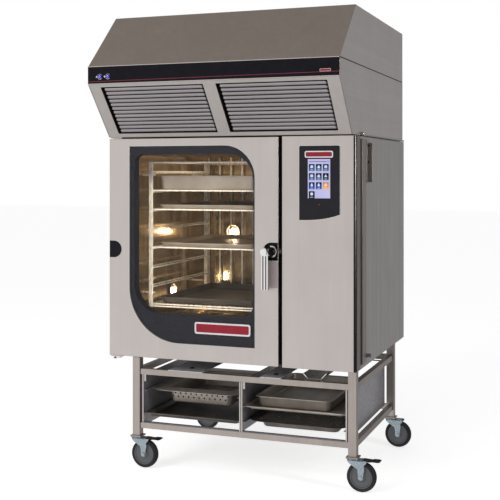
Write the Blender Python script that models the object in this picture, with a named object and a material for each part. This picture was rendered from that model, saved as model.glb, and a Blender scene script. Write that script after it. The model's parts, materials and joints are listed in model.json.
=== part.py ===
"""Combi steamer oven with a ventless hood above it and a wheeled stand with pan racks below it.

Lengths are metres. The driving dimensions count X from the door's left edge, Y from the door's
front face and Z from the floor. The oven_origin empty moves the whole object, so that the world
origin is at the middle of the object's footprint.
"""

import math

import bmesh
import bpy
from mathutils import Matrix, Vector

# Fits and sheet
FIT = 0.0003
SHEET = 0.002
RUN = 0.0015

# Oven case and front
OVEN_W = 1.120
OVEN_H = 0.968
OVEN_D = 0.938
OVEN_FLOOR = 0.495
OVEN_TOP = OVEN_FLOOR + OVEN_H
SIDE_STEP = 0.014
CASE_W = OVEN_W + SIDE_STEP

# Door
DOOR_W = 0.798
DOOR_T = 0.055
DOOR_GAP = 0.0165
DOOR_LIFT = 0.0015
DOOR_EDGE = 0.002
SEAL_T = 0.010
CASE_FRONT = DOOR_T + SEAL_T
PANEL_X = DOOR_W + DOOR_GAP
HINGE_X = 0.016
HINGE_Y = 0.024
HINGE_PLATE_T = 0.004
HINGE_PIN_R = 0.006
HINGE_PIN_L = 0.024
HINGE_PLATE_X = (0.003, 0.060)
HINGE_PLATE_Y = (0.006, 0.115)
HINGE_PIN_SLACK = 0.004

# Door glass: two sharp corners, two large round ones
GLASS_X = (0.100, DOOR_W - 0.106)
GLASS_Z = (OVEN_FLOOR + 0.072, OVEN_TOP - 0.035)
GLASS_TOP_R = 0.142
GLASS_LOW_R = 0.238
GLASS_T = 0.004
GLASS_SINK = 0.001
WINDOW_X = (GLASS_X[0] + 0.019, GLASS_X[1] - 0.004)
WINDOW_Z = (GLASS_Z[0] + 0.123, GLASS_Z[1] - 0.033)
WINDOW_R = {"low_left": 0.125, "low_right": 0.065, "top_right": 0.120, "top_left": 0.035}
PANE_LAP = 0.020

# Handle, its cup and the latch
HUB_X = DOOR_W - 0.050
HUB_Z = OVEN_FLOOR + OVEN_H / 2
HUB_R = 0.018
HUB_Y = (-0.046, -0.005)
SPINDLE_R = 0.007
LEVER_L = 0.158
LEVER_W = 0.030
LEVER_T = 0.021
LEVER_SET_BACK = 0.001
LEVER_EDGE = 0.0085
LEVER_ROOT = 0.0031
CUP_R = 0.0375
CUP_X = DOOR_W - 0.0315
CUP_RIGHT = DOOR_W - 0.0025
CUP_DEPTH = 0.022
CUP_WALL = 0.0015
TONGUE_H = 0.018
TONGUE_T = 0.008
TONGUE_Y = 0.012
TONGUE_X = (DOOR_W - 0.027, DOOR_W + 0.009)
SPINDLE_ROOT = 0.012
SPINDLE_REACH = 0.010
SPINDLE_ROOM = 0.005

# Cavity and what is in it
CAVITY_X = (0.085, DOOR_W - 0.053)
CAVITY_Z = (OVEN_FLOOR + 0.105, OVEN_TOP - 0.058)
CAVITY_BACK = OVEN_D - 0.138
GASKET_LAND = 0.010
GASKET_W = 0.016
FAN_ROOM = 0.085
BAFFLE_MARGIN = 0.020
FAN_R = 0.155
FAN_W = 0.045
FAN_DISC_GAP = 0.022
FAN_HUB_R = 0.028
FAN_BLADES = 10
BLADE_LEAN = 30
BLADE_INNER = 0.62
BLADE_PIVOT = 0.80
FAN_SHAFT_R = 0.009
SHAFT_IN_MOTOR = 0.040
MOTOR_R = 0.065
MOTOR_L = 0.150
HEATER_R = 0.200
HEATER_WIRE_R = 0.006
INLET_R = 0.120
LAMP_R = 0.045
LAMP_RISE = 0.016
LAMP_Y = 0.470
LAMP_Z = CAVITY_Z[0] + 0.137
RACK_X = (CAVITY_X[0] + 0.041, CAVITY_X[1] - 0.043)
RACK_Y = (0.110, CAVITY_BACK - 0.040)
POST_W = 0.020
POST_T = 0.006
RUNNER_PITCH = 0.0855
RUNNER_COUNT = 8
RACK_Z0 = CAVITY_Z[0] + 0.104
RUNNER_Z0 = RACK_Z0 + 0.010
RACK_Z1 = RUNNER_Z0 + (RUNNER_COUNT - 1) * RUNNER_PITCH + 0.0485
RUNNER_H = 0.005
RUNNER_LIP = 0.010
RACK_BAR = 0.006
SHELF_LEVELS = (0, 3, 5, 6)
SHELF_T = 0.005
SHELF_WIRES = 12
SHELF_WIRE_W = 0.003
SHELF_END_GAP = 0.004

# Pressed pans: wall, taper of the sides and corner radius; then each oven pan's level, depth, rim and inset
PAN_WALL = 0.0015
PAN_TAPER = 0.006
PAN_CORNER_R = 0.020
OVEN_PAN_GAP = (0.020, 0.016)
OVEN_PANS = {
    "roasting_pan": (0, 0.030, 0.010, 0.010),
    "baking_tray_lower": (3, 0.020, 0.008, 0.016),
    "baking_tray_upper": (5, 0.020, 0.008, 0.010),
    "steam_pan_deep": (6, 0.065, 0.012, 0.004),
}

# Control panel
BEZEL_X = (PANEL_X + 0.0755, PANEL_X + 0.2495)
BEZEL_Z = (OVEN_TOP - 0.349, OVEN_TOP - 0.041)
BEZEL_RISE = 0.024
BEZEL_T = 0.003
BEZEL_R = 0.006
SCREEN_X = (BEZEL_X[0] + 0.038, BEZEL_X[1] - 0.040)
SCREEN_Z = (BEZEL_Z[0] + 0.091, BEZEL_Z[1] - 0.055)
SCREEN_T = 0.012

# Hood
HOOD_W = OVEN_W - 0.004
HOOD_FLOOR = OVEN_TOP + HINGE_PLATE_T + 2 * FIT
HOOD_TOP = HOOD_FLOOR + 0.5404
HOOD_NOSE_Y = -0.190
HOOD_NOSE_Z = (HOOD_FLOOR + 0.2224, HOOD_FLOOR + 0.2964)
HOOD_CREST_Y = 0.059
HOOD_BACK = OVEN_D + 0.053
HOOD_VENT_IN = 0.060
HOOD_VENT_Y = (0.090, OVEN_D - 0.058)
OUTLET_X = (0.250, HOOD_W - 0.250)
OUTLET_Y = (HOOD_BACK - 0.201, HOOD_BACK - 0.061)
OUTLET_SLOTS = 14
OUTLET_BAR = 0.014
FASCIA_T = 0.003
BUTTON_R = 0.009
BUTTON_X = (0.060, 0.098)
BUTTON_Z = HOOD_NOSE_Z[0] + 0.030
BUTTON_TRAVEL = 0.003
BUTTON_PROUD = 0.001
BUTTON_TAIL = 0.004
FILTER_W = 0.474
FILTER_H = 0.252
FILTER_MARGIN = 0.055
FILTER_RISE = 0.022
FILTER_T = 0.014
FILTER_LIP = 0.004
SLATS = 12
SLAT_SINK = 0.007
SLAT_RISE = 0.0015
BLOWER_R = 0.130
BLOWER_H = 0.090
BLOWER_Y = 0.560
BLOWER_INNER = 0.66
BLOWER_MOTOR_R = 0.070
BLOWER_MOTOR_H = 0.080
BLOWER_MOTOR_GAP = 0.012
BLOWER_SHAFT_TAIL = 0.030

# Stand
LEG = 0.035
RAIL = 0.025
WHEEL_R = 0.0625
LEG_X = (0.104, CASE_W - 0.006)
LEG_Y = (0.022, OVEN_D - 0.170)
LEG_FOOT = 2 * WHEEL_R + 0.017
LOW_RAIL_TOP = LEG_FOOT + 0.059
HIGH_RAIL_TOP = OVEN_FLOOR - 0.055
PLANK_T = 0.003
PLANK_END_GAP = 0.004
PLANK_HOLE_R = 0.008
PLANK_HOLE_Y = 0.075
PLANKS = {"support_plank_left": (0.275, 0.440), "support_plank_right": (0.705, 0.800)}

# Pan racks in the stand
PAN_RACK_X = {"left": 0.150, "right": 0.6205}
PAN_RACK_W = 0.4665
PAN_RACK_Y = (LEG_Y[0] + 0.008, LEG_Y[1] - 0.048)
RUNNER_W = 0.014
STRAP_W = 0.020
PAN_LEVEL_LOW = LOW_RAIL_TOP + 0.042
PAN_LEVEL_MID = LOW_RAIL_TOP + 0.1095
PAN_LEVEL_HIGH = LOW_RAIL_TOP + 0.144
SHEET_PAN_CORNER_R = 0.015

# Each stand pan's rack, level, depth, rim and reach in Y; the solid steam pan stands on the right sheet pan
STAND_PANS = {
    "sheet_pan_left": ("left", PAN_LEVEL_LOW, 0.020, 0.014, (0.036, 0.690)),
    "perforated_pan": ("left", PAN_LEVEL_HIGH, 0.068, 0.078, (0.050, 0.590)),
    "sheet_pan_right": ("right", PAN_LEVEL_MID, 0.016, 0.014, (0.036, 0.690)),
    "mesh_pan": ("right", PAN_LEVEL_LOW, 0.036, 0.050, (0.060, 0.600)),
}
SOLID_PAN_INSET = 0.035
SOLID_PAN_W = 0.350
SOLID_PAN_Y = (0.090, 0.620)
SOLID_PAN_DEPTH = 0.048
SOLID_PAN_RIM = 0.012

# Casters
WHEEL_W = 0.032
TRAIL = 0.036
AXLE_R = 0.006
FORK_HALF = 0.0215
FORK_T = 0.003
FORK_X = (-0.022, 0.066)
FORK_FOOT = 0.011
AXLE_PROUD = 0.004
RACE_R = 0.024
RACE_T = 0.005
CROWN_T = 0.004
CASTER_PLATE = 0.052
CASTER_PLATE_T = 0.004
PEDAL_X = (0.043, 0.117)
PEDAL_PIVOT_X = 0.058
PEDAL_PIVOT_Z = LEG_FOOT - 0.010
PEDAL_T = 0.009

# The object's origin is the middle of its footprint
FRONT_MOST = HOOD_NOSE_Y - FASCIA_T - FIT - BUTTON_TRAVEL - BUTTON_PROUD
RIGHT_MOST = LEG_X[1] - LEG / 2 + PEDAL_X[1]
ORIGIN = Vector((RIGHT_MOST / 2, (FRONT_MOST + HOOD_BACK) / 2, 0))

MATERIALS = {
    "brushed_steel": ((0.56, 0.52, 0.49), 0.34, 1.0),
    "hood_steel": ((0.42, 0.38, 0.35), 0.32, 1.0),
    "cavity_steel": ((0.62, 0.60, 0.57), 0.18, 1.0),
    "pan_steel": ((0.60, 0.58, 0.55), 0.28, 1.0),
    "chrome": ((0.80, 0.80, 0.80), 0.10, 1.0),
    "zinc": ((0.60, 0.64, 0.68), 0.38, 1.0),
    "stand_steel": ((0.48, 0.44, 0.40), 0.34, 1.0),
    "galvanised": ((0.45, 0.47, 0.52), 0.42, 1.0),
    "glass": ((0.85, 0.88, 0.90), 0.04, 0.0),
    "black_gloss": ((0.010, 0.009, 0.012), 0.12, 0.0),
    "black_plastic": ((0.015, 0.015, 0.016), 0.45, 0.0),
    "slate": ((0.045, 0.045, 0.062), 0.35, 0.0),
    "screen": ((0.60, 0.60, 0.72), 0.15, 0.0),
    "seal_rubber": ((0.03, 0.03, 0.03), 0.75, 0.0),
    "tyre_grey": ((0.14, 0.14, 0.15), 0.60, 0.0),
    "button_blue": ((0.05, 0.06, 0.60), 0.20, 0.0),
    "lamp_glass": ((1.00, 0.82, 0.50), 0.10, 0.0),
    "motor_paint": ((0.12, 0.13, 0.15), 0.50, 0.2),
    "heater_steel": ((0.30, 0.27, 0.25), 0.45, 1.0),
}

# Where a point (u, v) of a flat outline, at w along the axis it is extruded on, lies in X, Y and Z
AXES = {
    "X": lambda u, v, w: (w, u, v),
    "Y": lambda u, v, w: (u, w, v),
    "Z": lambda u, v, w: (u, v, w),
}
GROUP_AT = {}


def clear_scene():
    for obj in list(bpy.data.objects):
        bpy.data.objects.remove(obj, do_unlink=True)


def material(name):
    found = bpy.data.materials.get(name)
    if found:
        return found
    colour, roughness, metallic = MATERIALS[name]
    made = bpy.data.materials.new(name)
    made.use_nodes = True
    shader = made.node_tree.nodes["Principled BSDF"]
    shader.inputs["Base Color"].default_value = (*colour, 1.0)
    shader.inputs["Roughness"].default_value = roughness
    shader.inputs["Metallic"].default_value = metallic
    if name == "glass":
        shader.inputs["Transmission Weight"].default_value = 0.9
    return made


def add_group(name, at, parent=None):
    """An empty at a point of the driving frame, on the axis that its pieces turn or slide on."""
    empty = bpy.data.objects.new(name, None)
    bpy.context.scene.collection.objects.link(empty)
    GROUP_AT[empty.name] = Vector(at)
    if parent:
        empty.parent = parent
        empty.location = Vector(at) - GROUP_AT[parent.name]
    else:
        empty.location = Vector(at) - ORIGIN
    return empty


def add_piece(name, bm, slot, group, at=None):
    """Turns a bmesh in the driving frame into a named object whose origin is at a point of that frame."""
    at = Vector(at) if at is not None else GROUP_AT[group.name]
    bmesh.ops.recalc_face_normals(bm, faces=bm.faces)
    bmesh.ops.translate(bm, verts=bm.verts, vec=-at)
    mesh = bpy.data.meshes.new(name)
    bm.to_mesh(mesh)
    bm.free()
    mesh.materials.append(material(slot))
    obj = bpy.data.objects.new(name, mesh)
    bpy.context.scene.collection.objects.link(obj)
    obj.parent = group
    obj.location = at - GROUP_AT[group.name]
    return obj


def smooth(obj, degrees=35):
    obj.data.shade_smooth()
    obj.data.set_sharp_from_angle(angle=math.radians(degrees))
    return obj


def bake(bm):
    mesh = bpy.data.meshes.new("baked")
    bm.to_mesh(mesh)
    bm.free()
    return mesh


def combined(base, others, operation):
    """One bmesh from a base and other closed bmeshes, by exact Booleans."""
    helper = bpy.data.objects.new("helper", bake(base))
    bpy.context.scene.collection.objects.link(helper)
    cutters = []
    for other in others:
        bmesh.ops.recalc_face_normals(other, faces=other.faces)
        cutter = bpy.data.objects.new("cutter", bake(other))
        cutter.hide_render = True
        cutter.display_type = "WIRE"
        bpy.context.scene.collection.objects.link(cutter)
        modifier = helper.modifiers.new("Boolean", "BOOLEAN")
        modifier.operation = operation
        modifier.solver = "EXACT"
        modifier.object = cutter
        cutters.append(cutter)
    graph = bpy.context.evaluated_depsgraph_get()
    result = bmesh.new()
    result.from_object(helper, graph)
    for obj in (helper, *cutters):
        bpy.data.objects.remove(obj, do_unlink=True)
    return result


def cut(base, *cutters):
    return combined(base, cutters, "DIFFERENCE")


def joined(base, *others):
    return combined(base, others, "UNION")


def box(x, y, z, bevel=0.0, segments=2):
    """A closed box between pairs of limits, with an optional bevel all round."""
    bm = bmesh.new()
    size = Matrix.Diagonal((x[1] - x[0], y[1] - y[0], z[1] - z[0], 1))
    centre = Vector(((x[0] + x[1]) / 2, (y[0] + y[1]) / 2, (z[0] + z[1]) / 2))
    bmesh.ops.create_cube(bm, size=1, matrix=Matrix.Translation(centre) @ size)
    if bevel:
        bmesh.ops.bevel(
            bm, geom=bm.edges[:], offset=bevel, segments=segments, profile=0.5, affect="EDGES"
        )
    return bm


def prism(points, along, axis="Y"):
    """A closed prism: an outline extruded between two limits along X, Y or Z."""
    order = AXES[axis]
    bm = bmesh.new()
    verts = [bm.verts.new(order(u, v, along[0])) for u, v in points]
    face = bm.faces.new(verts)
    moved = bmesh.ops.extrude_face_region(bm, geom=[face])
    step = Vector(order(0, 0, along[1] - along[0]))
    new_verts = [item for item in moved["geom"] if isinstance(item, bmesh.types.BMVert)]
    bmesh.ops.translate(bm, verts=new_verts, vec=step)
    bmesh.ops.recalc_face_normals(bm, faces=bm.faces)
    return bm


def disc(centre, radius, along, axis="Y", segments=24):
    """A closed cylinder between two limits along X, Y or Z, centred on a point of the other two axes."""
    ring = [
        (
            centre[0] + radius * math.cos(2 * math.pi * i / segments),
            centre[1] + radius * math.sin(2 * math.pi * i / segments),
        )
        for i in range(segments)
    ]
    return prism(ring, along, axis)


def corner(centre, radius, start, steps=6):
    """The points of a quarter circle that begins at an angle in degrees and runs anticlockwise."""
    return [
        (
            centre[0] + radius * math.cos(math.radians(start + 90 * i / steps)),
            centre[1] + radius * math.sin(math.radians(start + 90 * i / steps)),
        )
        for i in range(steps + 1)
    ]


def rounded(u, v, low_left=0.0, low_right=0.0, top_right=0.0, top_left=0.0, steps=6):
    """A rectangle's outline with its own radius at each corner, anticlockwise from the low left."""
    outline = []
    for radius, centre_u, centre_v, start in (
        (low_left, u[0] + low_left, v[0] + low_left, 180),
        (low_right, u[1] - low_right, v[0] + low_right, 270),
        (top_right, u[1] - top_right, v[1] - top_right, 0),
        (top_left, u[0] + top_left, v[1] - top_left, 90),
    ):
        if radius:
            outline += corner((centre_u, centre_v), radius, start, steps)
        else:
            outline.append((centre_u, centre_v))
    return outline


def shrunk(outline, by):
    """A convex clockwise outline moved inwards by the same distance along every edge."""
    points = [Vector(point) for point in outline]
    inner = []
    for before, here, after in zip(points[-1:] + points[:-1], points, points[1:] + points[:1]):
        come = (here - before).normalized()
        leave = (after - here).normalized()
        inward = Vector((come.y + leave.y, -come.x - leave.x)) * (by / (1 + come.dot(leave)))
        inner.append(tuple(here + inward))
    return inner


def grown(limits, by):
    return (limits[0] - by, limits[1] + by)


def lattice(us, vs, solid, along, axis):
    """A flat grating: the cells of a grid that solid(i, j) keeps, extruded between two limits."""
    order = AXES[axis]
    bm = bmesh.new()
    points = {}
    for i in range(len(us) - 1):
        for j in range(len(vs) - 1):
            if not solid(i, j):
                continue
            quad = [(i, j), (i + 1, j), (i + 1, j + 1), (i, j + 1)]
            for key in quad:
                if key not in points:
                    points[key] = bm.verts.new(order(us[key[0]], vs[key[1]], along[0]))
            bm.faces.new([points[key] for key in quad])
    moved = bmesh.ops.extrude_face_region(bm, geom=bm.faces[:])
    step = Vector(order(0, 0, along[1] - along[0]))
    new_verts = [item for item in moved["geom"] if isinstance(item, bmesh.types.BMVert)]
    bmesh.ops.translate(bm, verts=new_verts, vec=step)
    bmesh.ops.recalc_face_normals(bm, faces=bm.faces)
    return bm


def turned(profile, axis_point, axis="Y", segments=24):
    """A ring turned from a closed outline of (radius, along) points about a line parallel to an axis."""
    direction = {"X": Vector((1, 0, 0)), "Y": Vector((0, 1, 0)), "Z": Vector((0, 0, 1))}[axis]
    side = {"X": Vector((0, 0, 1)), "Y": Vector((0, 0, 1)), "Z": Vector((1, 0, 0))}[axis]
    bm = bmesh.new()
    centre = Vector(axis_point)
    verts = [bm.verts.new(centre + side * radius + direction * along) for radius, along in profile]
    edges = [bm.edges.new((a, b)) for a, b in zip(verts, verts[1:] + verts[:1])]
    bmesh.ops.spin(
        bm,
        geom=verts + edges,
        cent=centre,
        axis=direction,
        dvec=(0, 0, 0),
        angle=2 * math.pi,
        steps=segments,
        use_merge=True,
        use_duplicate=False,
    )
    bmesh.ops.remove_doubles(bm, verts=bm.verts, dist=1e-6)
    bmesh.ops.recalc_face_normals(bm, faces=bm.faces)
    return bm


# Oven case


def add_case(oven):
    """The five outer sheets of the oven case."""
    inner_z = (OVEN_FLOOR + SHEET + FIT, OVEN_TOP - SHEET - FIT)
    inner_y = (CASE_FRONT, OVEN_D - SHEET - FIT)
    full_y = (CASE_FRONT, OVEN_D)
    base = box((0, CASE_W), full_y, (OVEN_FLOOR, OVEN_FLOOR + SHEET))
    add_piece("cabinet_base", base, "brushed_steel", oven)
    top = box((0, CASE_W), full_y, (OVEN_TOP - SHEET, OVEN_TOP))
    add_piece("cabinet_top", top, "brushed_steel", oven)
    add_piece("cabinet_left_side", box((0, SHEET), inner_y, inner_z), "brushed_steel", oven)
    right = box((CASE_W - SHEET, CASE_W), inner_y, inner_z)
    add_piece("cabinet_right_side", right, "brushed_steel", oven)
    back = box((0, CASE_W), (OVEN_D - SHEET, OVEN_D), inner_z)
    add_piece("cabinet_back", back, "brushed_steel", oven)


def fan_centre():
    return (CAVITY_BACK + CASE_FRONT) / 2, (CAVITY_Z[0] + CAVITY_Z[1]) / 2


def add_liner(oven):
    """The welded cavity with its front flange, and the fan room on its right."""
    room_right = CAVITY_X[1] + FAN_ROOM
    skin_front = CASE_FRONT + SHEET
    flange = box(
        (SHEET + FIT, PANEL_X - FIT),
        (CASE_FRONT, skin_front),
        (OVEN_FLOOR + SHEET + FIT, OVEN_TOP - SHEET - FIT),
    )
    outer_x = (CAVITY_X[0] - SHEET, room_right + SHEET)
    outer = box(outer_x, (CASE_FRONT, CAVITY_BACK + SHEET), grown(CAVITY_Z, SHEET))
    inner = box((CAVITY_X[0], room_right), (skin_front, CAVITY_BACK), CAVITY_Z)
    mouth = box(CAVITY_X, (CASE_FRONT - SHEET, skin_front + SHEET), CAVITY_Z)
    shaft_hole = disc(fan_centre(), FAN_SHAFT_R + RUN, grown((room_right, room_right), 2 * SHEET), "X")
    liner = cut(joined(outer, flange), inner, mouth, shaft_hole)
    add_piece("cavity_liner", liner, "cavity_steel", oven)


def add_gasket(oven):
    inner_x, inner_z = grown(CAVITY_X, GASKET_LAND), grown(CAVITY_Z, GASKET_LAND)
    outer_x, outer_z = grown(inner_x, GASKET_W), grown(inner_z, GASKET_W)
    us = [outer_x[0], inner_x[0], inner_x[1], outer_x[1]]
    vs = [outer_z[0], inner_z[0], inner_z[1], outer_z[1]]
    depth = (DOOR_T + FIT, CASE_FRONT - FIT)
    gasket = lattice(us, vs, lambda i, j: (i, j) != (1, 1), depth, "Y")
    add_piece("door_gasket", gasket, "seal_rubber", oven)


def add_fan(oven):
    """Suction plate, fan wheel on its shaft, heater ring and motor, on the cavity's right."""
    centre_y, centre_z = fan_centre()
    room = (CAVITY_X[1], CAVITY_X[1] + FAN_ROOM)
    plate = box(
        (room[0], room[0] + SHEET),
        (CASE_FRONT + SHEET + BAFFLE_MARGIN, CAVITY_BACK - BAFFLE_MARGIN),
        grown(CAVITY_Z, -BAFFLE_MARGIN),
    )
    inlet = disc((centre_y, centre_z), INLET_R, grown((room[0], room[0]), 2 * SHEET), "X", 32)
    add_piece("fan_baffle", cut(plate, inlet), "cavity_steel", oven)

    disc_x = room[1] - FAN_DISC_GAP
    wheel_front = disc_x - FAN_W
    shaft_end = room[1] + SHEET + SHAFT_IN_MOTOR
    hub_x = (wheel_front + FAN_W / 4, disc_x + FAN_DISC_GAP / 2)
    hub = disc((centre_y, centre_z), FAN_HUB_R, hub_x, "X", 16)
    back = disc((centre_y, centre_z), FAN_R, (disc_x, disc_x + SHEET), "X", 32)
    shaft = disc((centre_y, centre_z), FAN_SHAFT_R, (disc_x, shaft_end), "X", 16)
    blades = []
    for i in range(FAN_BLADES):
        blade_y = (FAN_R * BLADE_INNER, FAN_R - SHEET)
        blade = box((wheel_front, disc_x + SHEET / 2), blade_y, (-SHEET / 2, SHEET / 2))
        pivot = Matrix.Translation((0, FAN_R * BLADE_PIVOT, 0))
        lean = pivot @ Matrix.Rotation(math.radians(BLADE_LEAN), 4, "X") @ pivot.inverted()
        spin = Matrix.Rotation(2 * math.pi * i / FAN_BLADES, 4, "X")
        place = Matrix.Translation((0, centre_y, centre_z)) @ spin @ lean
        bmesh.ops.transform(blade, matrix=place, verts=blade.verts)
        blades.append(blade)
    wheel = joined(back, hub, shaft, *blades)
    smooth(add_piece("fan_wheel", wheel, "cavity_steel", oven, (disc_x, centre_y, centre_z)))

    ring = [
        (
            HEATER_R + HEATER_WIRE_R * math.cos(2 * math.pi * i / 8),
            HEATER_WIRE_R * math.sin(2 * math.pi * i / 8),
        )
        for i in range(8)
    ]
    heater = turned(ring, (disc_x - FAN_W / 2, centre_y, centre_z), "X", 32)
    smooth(add_piece("heating_element", heater, "heater_steel", oven), 60)

    motor_x = (room[1] + SHEET + FIT, room[1] + SHEET + FIT + MOTOR_L)
    motor = disc((centre_y, centre_z), MOTOR_R, motor_x, "X", 24)
    bore = disc((centre_y, centre_z), FAN_SHAFT_R + RUN, (motor_x[0] - 0.01, shaft_end + RUN), "X", 16)
    smooth(add_piece("fan_motor", cut(motor, bore), "motor_paint", oven))


def add_lamp(oven):
    """A round lamp on the cavity's left wall."""
    profile = [(0.0, LAMP_RISE), (LAMP_R * 0.7, LAMP_RISE * 0.75), (LAMP_R, LAMP_RISE / 4), (LAMP_R, 0), (0.0, 0)]
    lamp = turned(profile, (CAVITY_X[0] + FIT, LAMP_Y, LAMP_Z), "X", 24)
    smooth(add_piece("cavity_lamp", lamp, "lamp_glass", oven))


def runner_z(level):
    return RUNNER_Z0 + level * RUNNER_PITCH


def add_rack(oven):
    """The welded rack: four posts, side runners at each level, and cross bars at top and bottom."""
    post_inner = (RACK_X[0] + POST_W, RACK_X[1] - POST_W)
    ys = [RACK_Y[0], RACK_Y[0] + POST_W, RACK_Y[1] - POST_W, RACK_Y[1]]
    zs = [RACK_Z0]
    for level in range(RUNNER_COUNT):
        zs += [runner_z(level) - RUNNER_H, runner_z(level)]
    zs += [RACK_Z1 - RUNNER_H, RACK_Z1]
    sides = [
        lattice(ys, zs, lambda i, j: i != 1 or j % 2 == 1, (x, x + POST_T), "X")
        for x in (post_inner[0] - POST_T, post_inner[1])
    ]
    lips = []
    for level in range(RUNNER_COUNT):
        z = (runner_z(level) - RUNNER_H + 0.001, runner_z(level) - 0.001)
        lip_y = grown(RACK_Y, -SHELF_END_GAP)
        lips.append(box((post_inner[0] - 0.001, post_inner[0] + RUNNER_LIP), lip_y, z))
        lips.append(box((post_inner[1] - RUNNER_LIP, post_inner[1] + 0.001), lip_y, z))
    bars = []
    for y in grown(RACK_Y, -RACK_BAR):
        for z in grown((RACK_Z0, RACK_Z1), -RACK_BAR / 2):
            span = grown(post_inner, POST_T / 3)
            bars.append(box(span, grown((y, y), RACK_BAR / 2), grown((z, z), RACK_BAR / 2 - 0.0005)))
    rack = joined(sides[0], *bars, sides[1], *lips)
    add_piece("oven_rack", rack, "chrome", oven)


def add_wire_shelves(oven):
    """Wire shelves that lie on the rack's runners."""
    x = grown(grown(RACK_X, -POST_W), -RUN)
    y = grown(RACK_Y, -SHELF_END_GAP)
    wire = SHELF_T
    us = [x[0], x[0] + wire]
    pitch = (x[1] - x[0] - wire) / (SHELF_WIRES + 1)
    for i in range(SHELF_WIRES):
        us += [x[0] + pitch * (i + 1), x[0] + pitch * (i + 1) + SHELF_WIRE_W]
    us += [x[1] - wire, x[1]]
    middle = (y[0] + y[1]) / 2
    vs = [y[0], y[0] + wire, middle - wire / 2, middle + wire / 2, y[1] - wire, y[1]]
    for number, level in enumerate(SHELF_LEVELS, 1):
        low = runner_z(level) + FIT
        shelf = lattice(us, vs, lambda i, j: i % 2 == 0 or j % 2 == 0, (low, low + SHELF_T), "Z")
        add_piece(f"wire_shelf_{number}", shelf, "chrome", oven)


def pan(x, y, rim_z, depth, rim, radius=PAN_CORNER_R):
    """A pressed pan: a flat rim with a tapered tray hanging from it, open at the top."""
    wall = PAN_WALL
    bowl_x = grown(x, -rim)
    bowl_y = grown(y, -rim)
    low = grown(bowl_x, -PAN_TAPER), grown(bowl_y, -PAN_TAPER)
    rings = [
        (x, y, rim_z, radius + rim),
        (bowl_x, bowl_y, rim_z, radius),
        (low[0], low[1], rim_z - depth + wall, radius * 0.8),
        (low[0], low[1], rim_z - depth, radius * 0.8),
        (grown(bowl_x, wall), grown(bowl_y, wall), rim_z - wall, radius + wall),
        (x, y, rim_z - wall, radius + rim),
    ]
    bm = bmesh.new()
    loops = []
    for ring_x, ring_y, z, corner_r in rings:
        outline = rounded(ring_x, ring_y, corner_r, corner_r, corner_r, corner_r, 3)
        loops.append([bm.verts.new((u, v, z)) for u, v in outline])
    order = [(0, 1), (1, 2), (3, 4), (4, 5), (5, 0)]
    count = len(loops[0])
    for a, b in order:
        for i in range(count):
            k = (i + 1) % count
            bm.faces.new([loops[a][i], loops[a][k], loops[b][k], loops[b][i]])
    bm.faces.new(loops[2])
    bm.faces.new(list(reversed(loops[3])))
    bmesh.ops.recalc_face_normals(bm, faces=bm.faces)
    return bm


def add_oven_pans(oven):
    """Trays and pans that stand on the wire shelves."""
    shelf_x = grown(grown(RACK_X, -POST_W), -OVEN_PAN_GAP[0])
    shelf_y = grown(RACK_Y, -OVEN_PAN_GAP[1])
    for name, (level, depth, rim, inset) in OVEN_PANS.items():
        low = runner_z(level) + FIT + SHELF_T + FIT
        x = grown(shelf_x, -inset)
        tray = pan(x, shelf_y, low + depth, depth, rim)
        add_piece(name, tray, "pan_steel", oven)


# Control panel


def bezel_outline(offset=0.0):
    """The dark panel's outline: its bottom edge climbs to the right in one long curve."""
    x = grown(BEZEL_X, offset)
    z = grown(BEZEL_Z, offset)
    points = [(x[0], z[0])]
    for i in range(1, 9):
        share = i / 8
        points.append((x[0] + (x[1] - x[0]) * share, z[0] + BEZEL_RISE * share ** 2.6))
    points += corner((x[1] - BEZEL_R, z[1] - BEZEL_R), BEZEL_R, 0, 3)
    points += corner((x[0] + BEZEL_R, z[1] - BEZEL_R), BEZEL_R, 90, 3)
    return points


def add_control_panel(oven):
    """The panel right of the door, its dark bezel and its touch screen."""
    plan = [(PANEL_X, 0), (OVEN_W, 0)]
    plan += [
        (
            OVEN_W + SIDE_STEP * math.sin(math.radians(a)),
            SIDE_STEP - SIDE_STEP * math.cos(math.radians(a)),
        )
        for a in (15, 30, 45, 60, 75)
    ]
    plan += [(CASE_W, SIDE_STEP), (CASE_W, CASE_FRONT - FIT), (PANEL_X, CASE_FRONT - FIT)]
    height = (OVEN_FLOOR, OVEN_TOP)
    inner_x = (PANEL_X + SHEET, CASE_W - SHEET)
    pocket_rear = box(inner_x, (SIDE_STEP, CASE_FRONT), grown(height, -SHEET))
    pocket_front = box((inner_x[0], OVEN_W), (SHEET, SIDE_STEP + SHEET), grown(height, -SHEET))
    hole = box(grown(SCREEN_X, RUN), (-SHEET, 2 * SHEET), grown(SCREEN_Z, RUN))
    panel = cut(prism(plan, height, "Z"), pocket_rear, pocket_front, hole)
    smooth(add_piece("control_panel", panel, "brushed_steel", oven))

    window = box(grown(SCREEN_X, FIT), (-2 * BEZEL_T, BEZEL_T), grown(SCREEN_Z, FIT))
    bezel = cut(prism(bezel_outline(), (-BEZEL_T - FIT, -FIT), "Y"), window)
    add_piece("display_bezel", bezel, "slate", oven)
    screen = box(SCREEN_X, (-BEZEL_T, SCREEN_T - BEZEL_T), SCREEN_Z)
    add_piece("touch_screen", screen, "screen", oven)


# Door


def glass_outline(offset=0.0):
    """The glass has sharp top left and low right corners, and large round ones opposite."""
    return rounded(
        grown(GLASS_X, offset),
        grown(GLASS_Z, offset),
        low_left=GLASS_LOW_R + offset,
        top_right=GLASS_TOP_R + offset,
        steps=12,
    )


def window_outline(offset=0.0):
    radii = {name: radius + offset for name, radius in WINDOW_R.items()}
    return rounded(grown(WINDOW_X, offset), grown(WINDOW_Z, offset), steps=6, **radii)


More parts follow.
